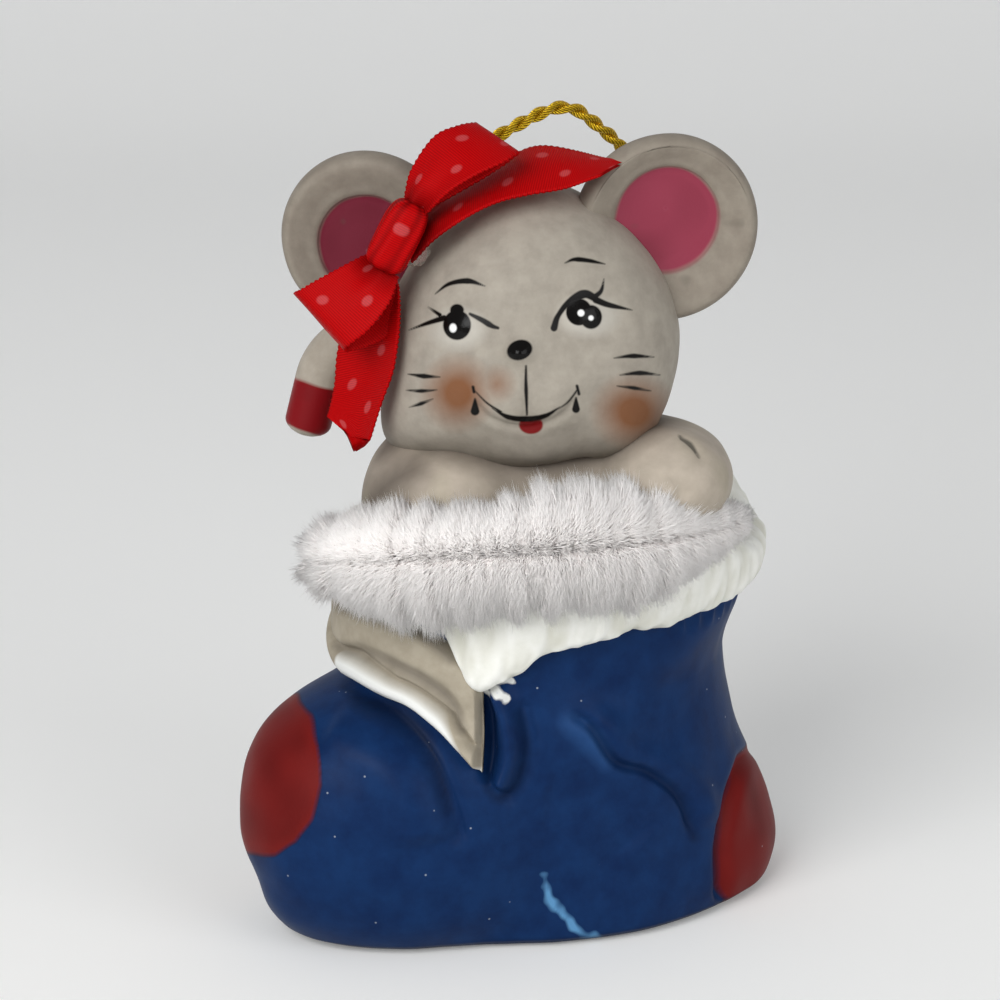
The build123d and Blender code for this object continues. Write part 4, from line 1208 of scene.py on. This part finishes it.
# %% Bow
LOOP_UPPER = [
    [(404, 197, -12.5), (427, 214, -14.5)], [(411, 170, -11.5), (449, 192, -16.5)],
    [(434, 138, -10.8), (478, 173, -16.6)], [(458, 127, -10.0), (503, 161, -15.6)],
    [(475, 124, -8.5), (517, 153, -13.6)], [(470, 126, -6.8), (513, 157, -11.2)],
    [(440, 144, -7.5), (485, 176, -11.0)], [(412, 186, -10.5), (430, 206, -12.5)],
]
LOOP_LOWER = [
    [(366, 257, -12.5), (398, 276, -14.5)], [(341, 269, -14.0), (388, 302, -16.6)],
    [(317, 281, -14.6), (369, 328, -17.4)], [(300, 291, -14.4), (349, 344, -17.2)],
    [(296, 293, -13.0), (344, 348, -15.6)], [(300, 292, -11.4), (352, 350, -13.4)],
    [(330, 277, -10.4), (391, 331, -12.4)], [(366, 258, -11.0), (397, 277, -12.4)],
]
TAIL_LOWER = [
    [(369, 266, -9.0), (398, 284, -12.6)], [(352, 310, -8.4), (399, 312, -13.6)],
    [(339, 350, -8.0), (397, 340, -14.4)], [(336, 385, -8.2), (392, 370, -14.8)],
    [(331, 408, -8.8), (382, 400, -15.0)],
]
TAIL_LOWER_CUT = [
    (328, 417, -9.0), (338, 424, -10.2), (346, 437, -11.4),
    (352, 452, -12.4), (361, 447, -13.6), (369, 440, -14.8),
]
TAIL_UPPER = [
    [(414, 224, -10.5), (412, 262, -13.4)], [(440, 204, -8.6), (438, 236, -14.8)],
    [(478, 178, -6.2), (473, 213, -14.6)], [(514, 156, -4.8), (499, 201, -14.4)],
    [(541, 147, -4.4), (527, 194, -13.8)], [(577, 152, -4.4), (566, 187, -12.2)],
]
TAIL_UPPER_CUT = [(606, 159, -5.0), (614, 163, -5.8), (622, 168, -6.8), (612, 172, -8.6), (600, 176, -10.4)]

bow_parts = {
    "bow_loop_upper": ribbon("ribbon_loop_upper", LOOP_UPPER, pleat=0.35, seed=1),
    "bow_loop_lower": ribbon("ribbon_loop_lower", LOOP_LOWER, pleat=0.35, seed=2),
    "bow_tail_lower": ribbon("ribbon_tail_lower", TAIL_LOWER, TAIL_LOWER_CUT, bulge=-0.5, seed=3),
    "bow_tail_upper": ribbon("ribbon_tail_upper", TAIL_UPPER, TAIL_UPPER_CUT, bulge=-0.6, seed=4),
}
for node, (piece, length, area) in bow_parts.items():
    settle(piece, satin, "satin_ribbon", "figurine", node)
    flat = (RIBBON_WIDTH * MM, length * MM)
    drawn = area / (RIBBON_WIDTH * length)
    print(node, "length", length.round(1), "mm, share of its rectangle", drawn.round(2))

# %% [markdown]
# The knot is the same ribbon pulled tight round the bow's middle: a short pillow with pleats along it. A
# squared oval carried along the knot's line gives the tight wrap that a folded strip would lose.

# %% Knot
KNOT_PLEATS = 7
KNOT_DOT = (3.2, 3.5)
KNOT_LENGTH, KNOT_GIRTH = 9.0, 14.0

share = np.linspace(0, 1, 60)[:, None]
spin = round_angles(80)
long_way = unit(KNOT_ENDS[1] - KNOT_ENDS[0])
wide = unit(np.cross(long_way, (0, 1, 0)))
deep = np.cross(wide, long_way)
spread = np.interp(share, (0, 0.3, 0.7, 1), (2.2, 2.5, 2.5, 2.6))
spread = spread * np.sqrt(1 - np.abs(2 * share - 1) ** 8 * 0.75)
pleat_wave = np.sin(KNOT_PLEATS * spin + 2 * share)
reach = spread * (1 + 0.07 * pleat_wave * np.sin(np.pi * share))
squared = [np.sign(part) * np.abs(part) ** 0.75 for part in (np.cos(spin), np.sin(spin))]
grid = KNOT_ENDS[0] + share[..., None] * (KNOT_ENDS[1] - KNOT_ENDS[0])
grid = grid + (reach * squared[0])[..., None] * wide + (0.98 * reach * squared[1])[..., None] * deep
flat = np.stack(np.broadcast_arrays(KNOT_LENGTH * share, np.linspace(0, KNOT_GIRTH, 80)[None]), axis=-1)
knot_dot = np.hypot(
    np.mod(flat[..., 0], KNOT_LENGTH) - KNOT_DOT[0], np.mod(flat[..., 1], DOT_PITCH) - KNOT_DOT[1]
) - DOT_RADIUS
# Shade painted into the knot's pleats and at its ends.
knot_pleat_shade = 2.6 + 1.8 * pleat_wave - 2.4 * np.abs(2 * share - 1) ** 3
knot = skin("ribbon_knot", grid, uv=flat, attributes={"dot": knot_dot, "painted_knot_shade": knot_pleat_shade})
settle(knot, satin, "satin_ribbon", "figurine", "bow_knot")

# %% [markdown]
# Hot glue holds the bow to the ear and the stem to the cuff. It sets as smooth, cloudy drops, so a lumpy
# oval is enough.

# %% Glue
GLUE_GRAIN = 0.9  # mm
GLUE_DABS = (0.3, 0.5, 0.66)  # places along the stem
DAB_RADIUS, DAB_DEPTH = 2.4, 2.6

# Hot melt glue: clear but milky, with soft streaks in its gloss.
hot_glue, tree, shader, where = start_material("hot_melt_glue")
cloud = add(tree, "ShaderNodeTexNoise", {"Vector": where, "Scale": per(GLUE_GRAIN), "Detail": 3}).outputs["Fac"]
tints = {"Factor": cloud, FIRST: linear("#D9D4CA"), SECOND: linear("#C9C2B4")}
milky = add(tree, "ShaderNodeMix", tints, data_type="RGBA").outputs[MIXED]
span = {VALUE: cloud, FROM_LOW: 0.3, FROM_HIGH: 0.7, TO_LOW: 0.08, TO_HIGH: 0.22}
streaks = add(tree, "ShaderNodeMapRange", span).outputs[0]
plug(tree, shader, {"Base Color": milky, "Roughness": streaks, "Transmission Weight": 0.75, "IOR": 1.48})


def blob(name, middle, sizes, seed):
    """A drop of glue: a lumpy oval."""
    ray = ball_rays(48, 30, 0.05)
    return skin(name, middle + ray * sizes * (1 + 0.12 * lumps(4 * ray, 2.0, seed))[..., None])


glue_bow = blob("glue_bow", (-13.2, -11.4, 86.4), (1.9, 1.5, 1.8), 95)
settle(glue_bow, hot_glue, "clear_glue", "figurine", "bow_glue")
point, along, outward, upward = wire_point(np.array(GLUE_DABS))
for number, middle in enumerate(point - DAB_DEPTH * outward):
    dab = blob(f"glue_trim_{number}", middle, (DAB_RADIUS,) * 3, 96 + number)
    settle(dab, hot_glue, "clear_glue", "figurine", *([] if number else ["trim_glue"]))
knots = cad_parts["cord_knots"].data.materials
knots.clear()
knots.append(gold_yarn)

# %% [markdown]
# ## Floor, backdrop and light
# A pale table that runs up into a wall, so that no edge shows, with the paper painted darker up the wall as
# shade; soft light from above and the left, and a sky that fills the shadows.

# %% Stage
STAGE_PROFILE = [(-900, 0), (-300, 0), (300, 0), (520, 10), (640, 90), (690, 260), (700, 900)]  # back and up
STAGE_HALF_WIDTH, STAGE_ROWS = 1500, 60
WALL_RISE = 0.22  # m, over which the paper's tone changes
PAPER_GLOW = 0.14

line = curve_through(STAGE_PROFILE, STAGE_ROWS)[:, None]
across = np.linspace(-STAGE_HALF_WIDTH, STAGE_HALF_WIDTH, 3)[None]
grid = np.stack(np.broadcast_arrays(across, line[..., 0], line[..., 1]), axis=-1)
backdrop = skin("table_and_wall", grid, around=False, caps=False)
# Matt paper: no gloss, painted darker up the wall as shade, and a faint glow that only the camera, mirrors
# and glass see.
paper, tree, shader, where = start_material("matt_white_paper")
height = add(tree, "ShaderNodeSeparateXYZ", {0: where}).outputs["Z"]
rise = add(tree, "ShaderNodeMapRange", {VALUE: height, FROM_LOW: 0.0, FROM_HIGH: WALL_RISE}).outputs[0]
# Shade painted into the paper: darker up the wall.
tints = {"Factor": rise, FIRST: linear("#EEEEEC"), SECOND: linear("#DEDEDF")}
tone = add(tree, "ShaderNodeMix", tints, data_type="RGBA").outputs[MIXED]
light = add(tree, "ShaderNodeLightPath").outputs
seen = {0: light["Is Camera Ray"], 1: light["Is Glossy Ray"]}
seen = add(tree, "ShaderNodeMath", seen, operation="MAXIMUM").outputs[0]
seen = add(tree, "ShaderNodeMath", {0: seen, 1: light["Is Transmission Ray"]}, operation="MAXIMUM").outputs[0]
glow = add(tree, "ShaderNodeMath", {0: seen, 1: PAPER_GLOW}, operation="MULTIPLY").outputs[0]
plug(tree, shader, {"Base Color": tone, "Roughness": 0.9, "Emission Color": tone, "Emission Strength": glow})
backdrop.data.materials.append(paper)
print("stage", backdrop.name)

# %% Light
SOFT_BOX = 520  # mm

world = bpy.data.worlds.new("soft_room")
world.use_nodes = True
sky = {"Color": linear("#F4F6FA"), "Strength": 0.36}
plug(world.node_tree, world.node_tree.nodes["Background"], sky)
bpy.context.scene.world = world


def lamp(name, place, power):
    """A square soft box that looks at the middle of the figure."""
    data = bpy.data.lights.new(name, "AREA")
    data.size = SOFT_BOX * MM
    data.energy = power
    piece = bpy.data.objects.new(name, data)
    right, back, up = np.array(place, float) - VIEW_TARGET
    piece.location = np.array(place) * MM
    piece.rotation_euler = (np.arctan2(np.hypot(right, back), up), 0, np.arctan2(back, right) + np.pi / 2)
    bpy.context.scene.collection.objects.link(piece)
    print("lamp", name, power, "W")


lamp("window", (-380, -640, 470), 5.6)
lamp("room", (520, -520, 300), 2.0)
bpy.context.scene.view_settings.view_transform = "Standard"
